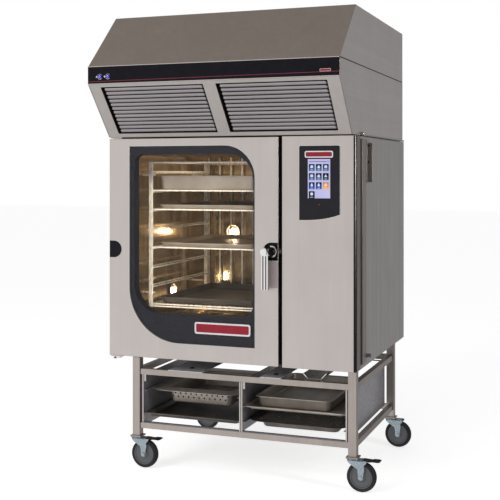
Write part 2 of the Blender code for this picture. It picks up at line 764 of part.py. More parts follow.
def cup_outline(offset=0.0):
    """A D with its flat side towards the door's free edge."""
    reach = CUP_R + offset
    right = CUP_RIGHT + offset
    left_half = corner((CUP_X, HUB_Z), reach, 90, 6) + corner((CUP_X, HUB_Z), reach, 180, 6)[1:]
    return left_half + [(right, HUB_Z - reach), (right, HUB_Z + reach)]


def door_height():
    return OVEN_FLOOR + DOOR_LIFT, OVEN_TOP - DOOR_LIFT


def tongue_slot(x):
    return box(x, grown((TONGUE_Y, TONGUE_Y), TONGUE_T / 2 + RUN), grown((HUB_Z, HUB_Z), TONGUE_H / 2 + RUN))


def add_door(door):
    """The door's steel frame with its two panes and the cup of the handle."""
    low, high = door_height()
    pane_x = grown(WINDOW_X, PANE_LAP)
    pane_z = grown(WINDOW_Z, PANE_LAP)
    seat_depth = GLASS_SINK + GLASS_T + FIT
    bore = HINGE_PIN_R + RUN
    frame = cut(
        box((0, DOOR_W), (0, DOOR_T), (low, high), DOOR_EDGE, 1),
        prism(glass_outline(FIT), (-0.01, seat_depth), "Y"),
        prism(window_outline(), (-0.01, DOOR_T + 0.01), "Y"),
        box(grown(pane_x, FIT), (DOOR_T - seat_depth, DOOR_T + 0.01), grown(pane_z, FIT)),
        prism(cup_outline(FIT), (-0.01, CUP_DEPTH + FIT), "Y"),
        disc((HUB_X, HUB_Z), SPINDLE_R + RUN, (0, CUP_DEPTH + SPINDLE_REACH + SPINDLE_ROOM), "Y", 16),
        tongue_slot((CUP_RIGHT - 0.01, DOOR_W + 0.01)),
        disc((HINGE_X, HINGE_Y), bore, (low - 0.01, low + HINGE_PIN_L), "Z", 16),
        disc((HINGE_X, HINGE_Y), bore, (high - HINGE_PIN_L, high + 0.01), "Z", 16),
    )
    add_piece("door_frame", frame, "brushed_steel", door)
    outer = prism(glass_outline(), (GLASS_SINK, GLASS_SINK + GLASS_T), "Y")
    add_piece("door_glass_outer", outer, "glass", door)
    inner_y = (DOOR_T - GLASS_SINK - GLASS_T, DOOR_T - GLASS_SINK)
    add_piece("door_glass_inner", box(pane_x, inner_y, pane_z), "glass", door)
    cup = cut(
        prism(cup_outline(), (-0.001, CUP_DEPTH), "Y"),
        prism(cup_outline(-CUP_WALL), (-0.01, CUP_DEPTH - CUP_WALL), "Y"),
        disc((HUB_X, HUB_Z), SPINDLE_R + RUN, (0, CUP_DEPTH + 0.01), "Y", 16),
        tongue_slot((CUP_RIGHT - 0.01, DOOR_W)),
    )
    add_piece("handle_cup", cup, "black_plastic", door)


def add_hinges(oven):
    """Two fixed plates on the case, each with a pin that goes into the door."""
    low, high = door_height()
    low_plate = box(HINGE_PLATE_X, HINGE_PLATE_Y, (OVEN_FLOOR - FIT - HINGE_PLATE_T, OVEN_FLOOR - FIT))
    low_pin_z = (OVEN_FLOOR - FIT - HINGE_PLATE_T / 2, low + HINGE_PIN_L - HINGE_PIN_SLACK)
    low_pin = disc((HINGE_X, HINGE_Y), HINGE_PIN_R, low_pin_z, "Z", 16)
    add_piece("door_hinge_bottom", joined(low_plate, low_pin), "chrome", oven)
    high_plate = box(HINGE_PLATE_X, HINGE_PLATE_Y, (OVEN_TOP + FIT, OVEN_TOP + FIT + HINGE_PLATE_T))
    high_pin_z = (high - HINGE_PIN_L + HINGE_PIN_SLACK, OVEN_TOP + FIT + HINGE_PLATE_T / 2)
    high_pin = disc((HINGE_X, HINGE_Y), HINGE_PIN_R, high_pin_z, "Z", 16)
    add_piece("door_hinge_top", joined(high_plate, high_pin), "chrome", oven)


def add_handle(door):
    """The lever that turns on its hub, and the latch tongue that it draws back."""
    lever_y = (HUB_Y[0] + LEVER_SET_BACK, HUB_Y[0] + LEVER_SET_BACK + LEVER_T)
    hub = disc((HUB_X, HUB_Z), HUB_R, HUB_Y, "Y", 24)
    spindle = disc((HUB_X, HUB_Z), SPINDLE_R, (HUB_Y[1] - SPINDLE_ROOT, CUP_DEPTH + SPINDLE_REACH), "Y", 20)
    bar_x = grown((HUB_X, HUB_X), LEVER_W / 2)
    bar = box(bar_x, lever_y, (HUB_Z - LEVER_L, HUB_Z + LEVER_ROOT), LEVER_EDGE, 3)
    lever = joined(hub, spindle, bar)
    smooth(add_piece("door_lever", lever, "chrome", door, (HUB_X, HUB_Y[0], HUB_Z)), 40)
    tongue_y = grown((TONGUE_Y, TONGUE_Y), TONGUE_T / 2)
    tongue = box(TONGUE_X, tongue_y, grown((HUB_Z, HUB_Z), TONGUE_H / 2), 0.002, 1)
    add_piece("latch_tongue", tongue, "chrome", door, (TONGUE_X[1], TONGUE_Y, HUB_Z))


# Hood


def hood_slope():
    """The unit vector up the sloping intake face, and its outward normal, both in Y and Z."""
    rise = HOOD_NOSE_Z[0] - HOOD_FLOOR
    length = math.hypot(HOOD_NOSE_Y, rise)
    up = Vector((0, HOOD_NOSE_Y / length, rise / length))
    return up, Vector((0, -up.z, up.y))


def intake_point(along, out):
    up, normal = hood_slope()
    return Vector((0, 0, HOOD_FLOOR)) + up * along + normal * out


def add_hood(oven):
    """The folded hood shell, its black fascia and the blower inside."""
    outline = [
        (0, HOOD_FLOOR),
        (HOOD_NOSE_Y, HOOD_NOSE_Z[0]),
        (HOOD_NOSE_Y, HOOD_NOSE_Z[1]),
        (HOOD_CREST_Y, HOOD_TOP),
        (HOOD_BACK, HOOD_TOP),
        (HOOD_BACK, HOOD_FLOOR),
    ]
    vent = box((HOOD_VENT_IN, HOOD_W - HOOD_VENT_IN), HOOD_VENT_Y, grown((HOOD_FLOOR, HOOD_FLOOR), 2 * SHEET))
    cutters = [prism(shrunk(outline, SHEET), (SHEET, HOOD_W - SHEET), "X"), vent]
    for x in filter_spans():
        low, high = FILTER_RISE - RUN, FILTER_RISE + FILTER_H + RUN
        corners = [intake_point(low, 0.01), intake_point(high, 0.01)]
        corners += [intake_point(high, -0.01), intake_point(low, -0.01)]
        cutters.append(prism([(p.y, p.z) for p in corners], grown(x, RUN), "X"))
    nose_hole = grown((HOOD_NOSE_Y, HOOD_NOSE_Y), 2 * SHEET)
    for x in BUTTON_X:
        cutters.append(disc((x, BUTTON_Z), BUTTON_R + RUN, nose_hole, "Y", 16))
    slot_pitch = (OUTLET_X[1] - OUTLET_X[0]) / OUTLET_SLOTS
    roof = grown((HOOD_TOP, HOOD_TOP), 2 * SHEET)
    for i in range(OUTLET_SLOTS):
        slot_left = OUTLET_X[0] + slot_pitch * i
        cutters.append(box((slot_left, slot_left + slot_pitch - OUTLET_BAR), OUTLET_Y, roof))
    shell = cut(prism(outline, (0, HOOD_W), "X"), *cutters)
    add_piece("hood_shell", shell, "hood_steel", oven)

    fascia_y = (HOOD_NOSE_Y - FIT - FASCIA_T, HOOD_NOSE_Y - FIT)
    strip = box((0.001, HOOD_W - 0.001), fascia_y, grown(HOOD_NOSE_Z, -0.001))
    holes = [disc((x, BUTTON_Z), BUTTON_R + FIT, grown(fascia_y, 0.01), "Y", 16) for x in BUTTON_X]
    add_piece("hood_fascia", cut(strip, *holes), "black_gloss", oven)

    centre_x = HOOD_W / 2
    motor_z = (HOOD_TOP - SHEET - FIT - BLOWER_MOTOR_H, HOOD_TOP - SHEET - FIT)
    motor = disc((centre_x, BLOWER_Y), BLOWER_MOTOR_R, motor_z, "Z", 24)
    shaft_top = motor_z[0] + SHAFT_IN_MOTOR
    bore = disc((centre_x, BLOWER_Y), FAN_SHAFT_R + RUN, (motor_z[0] - 0.01, shaft_top + RUN), "Z", 16)
    smooth(add_piece("hood_blower_motor", cut(motor, bore), "motor_paint", oven))
    plate_z = motor_z[0] - BLOWER_MOTOR_GAP
    plate = disc((centre_x, BLOWER_Y), BLOWER_R, (plate_z - SHEET, plate_z), "Z", 32)
    shaft = disc((centre_x, BLOWER_Y), FAN_SHAFT_R, (plate_z - BLOWER_SHAFT_TAIL, shaft_top), "Z", 16)
    blades = []
    for i in range(FAN_BLADES):
        span = (BLOWER_R * BLOWER_INNER, BLOWER_R - SHEET)
        blade = box(span, (-SHEET / 2, SHEET / 2), (plate_z - BLOWER_H, plate_z - SHEET / 2))
        turn = Matrix.Rotation(2 * math.pi * i / FAN_BLADES, 4, "Z")
        place = Matrix.Translation((centre_x, BLOWER_Y, 0)) @ turn
        bmesh.ops.transform(blade, matrix=place, verts=blade.verts)
        blades.append(blade)
    blower = joined(plate, shaft, *blades)
    smooth(add_piece("hood_blower_wheel", blower, "galvanised", oven, (centre_x, BLOWER_Y, plate_z)))


def filter_spans():
    left = FILTER_MARGIN
    right = HOOD_W - FILTER_MARGIN - FILTER_W
    return (left, left + FILTER_W), (right, right + FILTER_W)


def add_filters(oven):
    """Two grease filters that lie flush in the sloping intake face, with rounded slats."""
    pitch = (FILTER_H - 2 * FILTER_LIP) / SLATS
    section = [(0.0, -FILTER_T), (0.0, 0.0)]
    for i in range(SLATS):
        foot = FILTER_LIP + pitch * i
        section += [(foot, 0.0), (foot, -SLAT_SINK)]
        section += [(foot + pitch * 0.22, -SLAT_SINK), (foot + pitch * 0.22, -SLAT_SINK / 2)]
        section += [(foot + pitch * 0.45, SLAT_RISE), (foot + pitch * 0.75, SLAT_RISE)]
        section += [(foot + pitch * 0.97, -SLAT_RISE / 2)]
    section += [(FILTER_H - FILTER_LIP, 0.0), (FILTER_H, 0.0), (FILTER_H, -FILTER_T)]
    for name, x in zip(("baffle_filter_left", "baffle_filter_right"), filter_spans()):
        points = [intake_point(FILTER_RISE + along, out) for along, out in section]
        body = prism([(p.y, p.z) for p in points], x, "X")
        middle = intake_point(FILTER_RISE + FILTER_H / 2, 0)
        add_piece(name, body, "brushed_steel", oven, ((x[0] + x[1]) / 2, middle.y, middle.z))


def add_buttons(oven):
    for name, x in zip(("hood_fan_button", "hood_lamp_button"), BUTTON_X):
        front = HOOD_NOSE_Y - FIT - FASCIA_T - BUTTON_TRAVEL - BUTTON_PROUD
        button = disc((x, BUTTON_Z), BUTTON_R - FIT, (front, HOOD_NOSE_Y + BUTTON_TAIL), "Y", 20)
        smooth(add_piece(name, button, "button_blue", oven, (x, front, BUTTON_Z)))


# Stand


def leg_centres():
    x = (LEG_X[0] + LEG / 2, LEG_X[1] - LEG / 2)
    y = (LEG_Y[0] + LEG / 2, LEG_Y[1] - LEG / 2)
    return {
        "front_left": (x[0], y[0]),
        "front_right": (x[1], y[0]),
        "rear_left": (x[0], y[1]),
        "rear_right": (x[1], y[1]),
    }


def add_stand(oven):
    """The welded frame of square tube, with a plate under each leg for its caster."""
    centres = leg_centres()
    pieces = []
    for x, y in centres.values():
        legs_z = (LEG_FOOT, OVEN_FLOOR - HINGE_PLATE_T - 2 * FIT)
        pieces.append(box(grown((x, x), LEG / 2), grown((y, y), LEG / 2), legs_z))
        plate_z = (LEG_FOOT - CASTER_PLATE_T, LEG_FOOT + 0.001)
        plate = grown((x, x), CASTER_PLATE / 2), grown((y, y), CASTER_PLATE / 2)
        pieces.append(box(*plate, plate_z))
    near = centres["front_left"]
    far = centres["rear_right"]
    lap = LEG / 2 - 0.001
    for top in (LOW_RAIL_TOP, HIGH_RAIL_TOP):
        z = (top - RAIL, top)
        for y in (near[1], far[1]):
            pieces.append(box((near[0] + lap, far[0] - lap), grown((y, y), RAIL / 2), z))
        for x in (near[0], far[0]):
            pieces.append(box(grown((x, x), RAIL / 2), (near[1] + lap, far[1] - lap), z))
    frame = joined(pieces[0], *pieces[1:])
    add_piece("stand_frame", frame, "stand_steel", oven)
    plank_y = grown(LEG_Y, -PLANK_END_GAP)
    for name, x in PLANKS.items():
        plank = box(x, plank_y, (HIGH_RAIL_TOP + FIT, HIGH_RAIL_TOP + FIT + PLANK_T))
        hole_at = ((x[0] + x[1]) / 2, plank_y[0] + PLANK_HOLE_Y)
        hole = disc(hole_at, PLANK_HOLE_R, grown((HIGH_RAIL_TOP, HIGH_RAIL_TOP), 3 * PLANK_T), "Z", 12)
        add_piece(name, cut(plank, hole), "galvanised", oven)


def add_pan_racks(oven):
    """Two sheet racks that stand on the lower rails, with runners for the pans."""
    z = (LOW_RAIL_TOP + FIT, HIGH_RAIL_TOP - RAIL - FIT)
    for side, levels in (
        ("left", (PAN_LEVEL_LOW, PAN_LEVEL_HIGH)),
        ("right", (PAN_LEVEL_LOW, PAN_LEVEL_MID)),
    ):
        x = (PAN_RACK_X[side], PAN_RACK_X[side] + PAN_RACK_W)
        walls = [box((x[0], x[0] + SHEET), PAN_RACK_Y, z), box((x[1] - SHEET, x[1]), PAN_RACK_Y, z)]
        extra = []
        for level in levels:
            runner = (level - SHEET, level)
            reach = (x[0] + SHEET / 2, x[0] + SHEET + RUNNER_W)
            extra.append(box(reach, grown(PAN_RACK_Y, -0.002), runner))
            reach = (x[1] - SHEET - RUNNER_W, x[1] - SHEET / 2)
            extra.append(box(reach, grown(PAN_RACK_Y, -0.002), runner))
        span = (x[0] + SHEET / 2, x[1] - SHEET / 2)
        strap_ys = (PAN_RACK_Y[0] + 0.001, PAN_RACK_Y[1] - 0.001 - STRAP_W)
        for y in strap_ys:
            extra.append(box(span, (y, y + STRAP_W), (z[0], z[0] + SHEET)))
        extra.append(box(span, (strap_ys[1], strap_ys[1] + STRAP_W), (z[1] - SHEET, z[1])))
        rack = joined(walls[0], *extra, walls[1])
        add_piece(f"pan_rack_{side}", rack, "galvanised", oven)


def add_stand_pans(oven):
    """The pans that slide out of the racks towards the front."""
    for name, (side, level, depth, rim, y) in STAND_PANS.items():
        inner_x = (PAN_RACK_X[side] + SHEET, PAN_RACK_X[side] + PAN_RACK_W - SHEET)
        x = grown(inner_x, -RUN)
        rim_z = level + FIT + PAN_WALL
        bottom = pan(x, y, rim_z, depth, rim, SHEET_PAN_CORNER_R)
        at = ((x[0] + x[1]) / 2, y[0], rim_z)
        add_piece(name, bottom, "pan_steel", oven, at)
    side, level, depth = STAND_PANS["sheet_pan_right"][:3]
    sheet_floor = level + FIT + PAN_WALL - depth + PAN_WALL
    left = PAN_RACK_X[side] + SOLID_PAN_INSET
    solid_x = (left, left + SOLID_PAN_W)
    rim_z = sheet_floor + FIT + SOLID_PAN_DEPTH
    solid = pan(solid_x, SOLID_PAN_Y, rim_z, SOLID_PAN_DEPTH, SOLID_PAN_RIM)
    add_piece("steam_pan_solid", solid, "pan_steel", oven, (sum(solid_x) / 2, SOLID_PAN_Y[0], sheet_floor))


# Casters


def add_caster(place, x, y, braked, oven):
    """A swivel caster: fork with its axle, wheel, and a brake pedal on the front ones."""
    swivel = add_group(f"swivel_{place}", (x, y, LEG_FOOT - CASTER_PLATE_T), oven)
    crown_top = LEG_FOOT - CASTER_PLATE_T - FIT
    race_z = (crown_top - RACE_T, crown_top)
    race = disc((x, y), RACE_R, race_z, "Z", 20)
    crown_x = (x + FORK_X[0], x + FORK_X[1] - RACE_R)
    crown = box(crown_x, grown((y, y), FORK_HALF), (race_z[0] - CROWN_T, race_z[0] + 0.001))
    side = [
        (x + FORK_X[0], race_z[0]),
        (x + FORK_X[0], race_z[0] - 3 * CROWN_T),
        (x + TRAIL - FORK_FOOT, WHEEL_R - 0.004),
        (x + TRAIL - FORK_FOOT / 2, WHEEL_R - FORK_FOOT),
        (x + TRAIL + FORK_FOOT / 2, WHEEL_R - FORK_FOOT),
        (x + TRAIL + FORK_FOOT, WHEEL_R - 0.004),
        (x + FORK_X[1], race_z[0] - 3 * CROWN_T),
        (x + FORK_X[1], race_z[0]),
    ]
    cheeks = [
        prism(side, (y - FORK_HALF, y - FORK_HALF + FORK_T), "Y"),
        prism(side, (y + FORK_HALF - FORK_T, y + FORK_HALF), "Y"),
    ]
    axle_y = grown((y, y), FORK_HALF + AXLE_PROUD)
    axle = disc((x + TRAIL, WHEEL_R), AXLE_R, axle_y, "Y", 12)
    fork = joined(crown, race, *cheeks, axle)
    add_piece(f"caster_fork_{place}", fork, "zinc", swivel)

    half = WHEEL_W / 2
    profile = [
        (AXLE_R + RUN, -half),
        (0.020, -half),
        (0.044, -half + 0.004),
        (WHEEL_R - 0.005, -half),
        (WHEEL_R, -half + 0.007),
        (WHEEL_R, half - 0.007),
        (WHEEL_R - 0.005, half),
        (0.044, half - 0.004),
        (0.020, half),
        (AXLE_R + RUN, half),
    ]
    wheel = turned(profile, (x + TRAIL, y, WHEEL_R), "Y", 28)
    smooth(add_piece(f"caster_wheel_{place}", wheel, "tyre_grey", swivel, (x + TRAIL, y, WHEEL_R)))
    if braked:
        pedal_z = grown((PEDAL_PIVOT_Z, PEDAL_PIVOT_Z), PEDAL_T / 2)
        pedal_y = grown((y, y), FORK_HALF - FORK_T - RUN)
        pedal = box((x + PEDAL_X[0], x + PEDAL_X[1]), pedal_y, pedal_z, 0.002, 1)
        pivot = (x + PEDAL_PIVOT_X, y, PEDAL_PIVOT_Z)
        add_piece(f"brake_pedal_{place}", pedal, "black_plastic", swivel, pivot)


def main():
    clear_scene()
    oven = add_group("oven_origin", (0, 0, 0))
    door = add_group("door_pivot", (HINGE_X, HINGE_Y, OVEN_FLOOR), oven)
    add_case(oven)
    add_liner(oven)
    add_gasket(oven)
    add_fan(oven)
    add_lamp(oven)
    add_rack(oven)
    add_wire_shelves(oven)
    add_oven_pans(oven)
    add_control_panel(oven)
    add_door(door)
    add_hinges(oven)
    add_handle(door)
    add_hood(oven)
    add_filters(oven)
    add_buttons(oven)
    add_stand(oven)
    add_pan_racks(oven)
    add_stand_pans(oven)
    for place, (x, y) in leg_centres().items():
        add_caster(place, x, y, place.startswith("front"), oven)
    bpy.context.view_layer.update()


main()
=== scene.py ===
import json
import math

import bmesh
import bpy
from mathutils import Matrix, Vector

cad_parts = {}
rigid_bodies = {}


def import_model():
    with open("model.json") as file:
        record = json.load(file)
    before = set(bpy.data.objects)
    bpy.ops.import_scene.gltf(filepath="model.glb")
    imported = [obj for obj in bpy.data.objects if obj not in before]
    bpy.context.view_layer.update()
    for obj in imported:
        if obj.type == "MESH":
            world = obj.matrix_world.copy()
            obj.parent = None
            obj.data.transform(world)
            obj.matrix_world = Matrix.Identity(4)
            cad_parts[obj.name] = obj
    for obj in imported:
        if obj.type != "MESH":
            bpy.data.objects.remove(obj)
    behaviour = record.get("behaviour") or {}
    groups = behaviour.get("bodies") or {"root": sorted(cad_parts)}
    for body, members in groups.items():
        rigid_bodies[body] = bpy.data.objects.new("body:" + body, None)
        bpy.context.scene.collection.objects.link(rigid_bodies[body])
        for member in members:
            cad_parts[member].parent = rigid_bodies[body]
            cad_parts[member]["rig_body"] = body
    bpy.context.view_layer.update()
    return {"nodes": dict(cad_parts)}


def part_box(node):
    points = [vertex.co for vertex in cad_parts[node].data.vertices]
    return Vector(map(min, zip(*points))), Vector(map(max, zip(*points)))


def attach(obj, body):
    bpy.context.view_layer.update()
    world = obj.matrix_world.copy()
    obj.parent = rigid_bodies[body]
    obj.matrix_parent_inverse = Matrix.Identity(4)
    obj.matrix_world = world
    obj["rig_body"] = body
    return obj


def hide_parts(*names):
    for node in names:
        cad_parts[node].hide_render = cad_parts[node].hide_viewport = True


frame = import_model()
nodes = frame["nodes"]
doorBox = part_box("door_frame")
corner = Vector((doorBox[0].x, doorBox[0].y, 0.0))  # the door's left front edge, on the floor


def extent(node):  # a node's limits along x, y and z, counted from that corner
    low, high = (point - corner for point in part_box(node))
    return [(low[i], high[i]) for i in range(3)]


def bodyOf(node):
    return nodes[node]["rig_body"]


def widened(limits, by):
    return (limits[0] - by, limits[1] + by)


def middle(limits):
    return (limits[0] + limits[1]) / 2


print("frame loaded:", len(nodes), "solids")


# ---- shader helpers

def startMaterial(name, colour, roughness, metallic=0.0):
    made = bpy.data.materials.new(name)
    made.use_nodes = True
    shader = made.node_tree.nodes["Principled BSDF"]
    shader.inputs["Base Color"].default_value = (*colour, 1.0)
    shader.inputs["Roughness"].default_value = roughness
    shader.inputs["Metallic"].default_value = metallic
    made.diffuse_color = (*colour, 1.0)
    return made, made.node_tree, shader


def patches(tree, size, detail=3.0, shift=0.0, rough=0.5):  # noise with features of this size
    coords = tree.nodes.new("ShaderNodeTexCoord")
    mapping = tree.nodes.new("ShaderNodeMapping")
    mapping.inputs["Location"].default_value = (shift, shift * 0.7, shift * 1.3)
    mapping.inputs["Scale"].default_value = [1 / side for side in size]
    noise = tree.nodes.new("ShaderNodeTexNoise")
    noise.inputs["Scale"].default_value = 1.0
    noise.inputs["Detail"].default_value = detail
    noise.inputs["Roughness"].default_value = rough
    tree.links.new(coords.outputs["Object"], mapping.inputs["Vector"])
    tree.links.new(mapping.outputs["Vector"], noise.inputs["Vector"])
    return noise.outputs["Fac"]


def cells(tree, size, feature="F1"):  # crystals of this size
    coords = tree.nodes.new("ShaderNodeTexCoord")
    grid = tree.nodes.new("ShaderNodeTexVoronoi")
    grid.feature = feature
    grid.inputs["Scale"].default_value = 1 / size
    tree.links.new(coords.outputs["Object"], grid.inputs["Vector"])
    return grid


def remap(tree, value, low, high, start=0.3, end=0.7):
    mapRange = tree.nodes.new("ShaderNodeMapRange")
    mapRange.inputs["From Min"].default_value = start
    mapRange.inputs["From Max"].default_value = end
    mapRange.inputs["To Min"].default_value = low
    mapRange.inputs["To Max"].default_value = high
    tree.links.new(value, mapRange.inputs["Value"])
    return mapRange.outputs["Result"]


def blended(tree, factor, first, second, mode="MIX"):  # two colours, each a value or a socket
    mix = tree.nodes.new("ShaderNodeMix")
    mix.data_type = "RGBA"
    mix.blend_type = mode
    for socket, value in ((mix.inputs[0], factor), (mix.inputs[6], first), (mix.inputs[7], second)):
        if isinstance(value, (tuple, list)):
            socket.default_value = (*value, 1.0)
        elif isinstance(value, float):
            socket.default_value = value
        else:
            tree.links.new(value, socket)
    return mix.outputs[2]


def summed(tree, first, second, weight):
    node = tree.nodes.new("ShaderNodeMath")
    node.operation = "MULTIPLY_ADD"
    tree.links.new(second, node.inputs[0])
    node.inputs[1].default_value = weight
    tree.links.new(first, node.inputs[2])
    return node.outputs[0]


def relief(tree, shader, height, depth, strength=1.0):
    bump = tree.nodes.new("ShaderNodeBump")
    bump.inputs["Distance"].default_value = depth
    bump.inputs["Strength"].default_value = strength
    tree.links.new(height, bump.inputs["Height"])
    tree.links.new(bump.outputs["Normal"], shader.inputs["Normal"])


# ---- finishes

def brushedMetal(name, look):  # sheet metal with a grain, broad streaks and handling marks
    made, tree, shader = startMaterial(name, look["colour"], look["roughness"], look.get("metallic", 1.0))
    run, across = look.get("run", 0.35), look.get("across", 0.0011)
    grainSize = {
        "x": (run, across, across),
        "y": (across, run, across),
        "z": (across, across, run),
    }[look["grain"]]
    grain = patches(tree, grainSize, 2.0)
    streak = patches(tree, [side * 14 for side in grainSize], 3.0, 3.1)
    smudge = patches(tree, (0.16, 0.16, 0.22), 4.0, 7.7, 0.6)
    worn = blended(tree, remap(tree, streak, 0.0, look.get("streaks", 0.5)), look["colour"], look["tone"])
    shade = blended(tree, remap(tree, smudge, 0.0, look.get("smudges", 0.3)), worn, look["tone"])
    tree.links.new(shade, shader.inputs["Base Color"])
    gloss = summed(tree, remap(tree, grain, look["roughness"] - 0.05, look["roughness"] + 0.05), smudge,
        0.10)
    tree.links.new(gloss, shader.inputs["Roughness"])
    relief(tree, shader, summed(tree, grain, streak, 0.8), look.get("depth", 0.00006),
        look.get("bump", 0.30))
    return made


def polishedMetal(name, look):  # bright metal, slightly wavy, with fine wipe marks
    made, tree, shader = startMaterial(name, look["colour"], look["roughness"], look.get("metallic", 1.0))
    wave = patches(tree, look["wave"], 2.0)
    wipe = patches(tree, (0.004, 0.010, 0.030), 4.0, 5.0)
    tree.links.new(blended(tree, remap(tree, wave, 0.0, 0.6), look["colour"], look["tone"]),
        shader.inputs["Base Color"])
    tree.links.new(remap(tree, wipe, look["roughness"] * 0.6, look["roughness"] * 1.8),
        shader.inputs["Roughness"])
    relief(tree, shader, wave, look["depth"], 0.6)
    return made


def galvanisedSheet(name, look):  # zinc crystals with their own tones
    made, tree, shader = startMaterial(name, look["colour"], look["roughness"], look["metallic"])
    crystal = cells(tree, look["crystal"])
    gray = tree.nodes.new("ShaderNodeRGBToBW")
    tree.links.new(crystal.outputs["Color"], gray.inputs["Color"])
    dull = patches(tree, (0.09, 0.09, 0.09), 3.0, 2.0)
    tone = blended(tree, remap(tree, gray.outputs["Val"], 0.0, look["contrast"], 0.2, 0.8), look["colour"],
        look["tone"])
    tree.links.new(blended(tree, remap(tree, dull, 0.0, 0.5), tone, look["tone"]),
        shader.inputs["Base Color"])
    gloss = remap(tree, gray.outputs["Val"], look["roughness"] - 0.08, look["roughness"] + 0.12)
    tree.links.new(gloss, shader.inputs["Roughness"])
    relief(tree, shader, gray.outputs["Val"], 0.00008, 0.25)
    return made


def mouldedPlastic(name, look):  # plastic, rubber or paint with a fine texture and dusty patches
    made, tree, shader = startMaterial(name, look["colour"], look["roughness"], look.get("metallic", 0.0))
    dust = patches(tree, (0.05, 0.05, 0.05), 5.0, 1.0, 0.65)
    pebble = cells(tree, look.get("pebble", 0.0012))
    tree.links.new(blended(tree, remap(tree, dust, 0.0, 0.7), look["colour"], look["tone"]),
        shader.inputs["Base Color"])
    tree.links.new(remap(tree, dust, look["roughness"], look["roughness"] + 0.12),
        shader.inputs["Roughness"])
    relief(tree, shader, pebble.outputs["Distance"], look.get("depth", 0.00008), 0.35)
    shader.inputs["Specular IOR Level"].default_value = look.get("specular", 0.5)
    shader.inputs["Coat Weight"].default_value = look.get("coat", 0.0)
    shader.inputs["Coat Roughness"].default_value = 0.08
    return made


def clearGlass(name, look):  # a faint smoky sheen over what lies behind, with wipe marks in its gloss
    made, tree, shader = startMaterial(name, look["colour"], look["roughness"])
    shader.inputs["Alpha"].default_value = look["cover"]
    wipe = patches(tree, (0.20, 0.20, 0.05), 4.0, 4.0)
    tree.links.new(remap(tree, wipe, look["roughness"], look["roughness"] * 4, 0.45, 0.75),
        shader.inputs["Roughness"])
    tree.links.new(blended(tree, remap(tree, wipe, 0.0, 1.0), look["colour"], look["tone"]),
        shader.inputs["Base Color"])
    return made


def glowing(name, look):  # a lit surface, brighter in some places than others
    made, tree, shader = startMaterial(name, look["colour"], 0.25)
    shader.inputs["Emission Strength"].default_value = look["strength"]
    shader.inputs["Specular IOR Level"].default_value = 0.15
    uneven = patches(tree, look["patch"], 2.0)
    shade = blended(tree, remap(tree, uneven, 0.0, 1.0), look["colour"], look["tone"])
    tree.links.new(shade, shader.inputs["Emission Color"])
    tree.links.new(shade, shader.inputs["Base Color"])
    return made


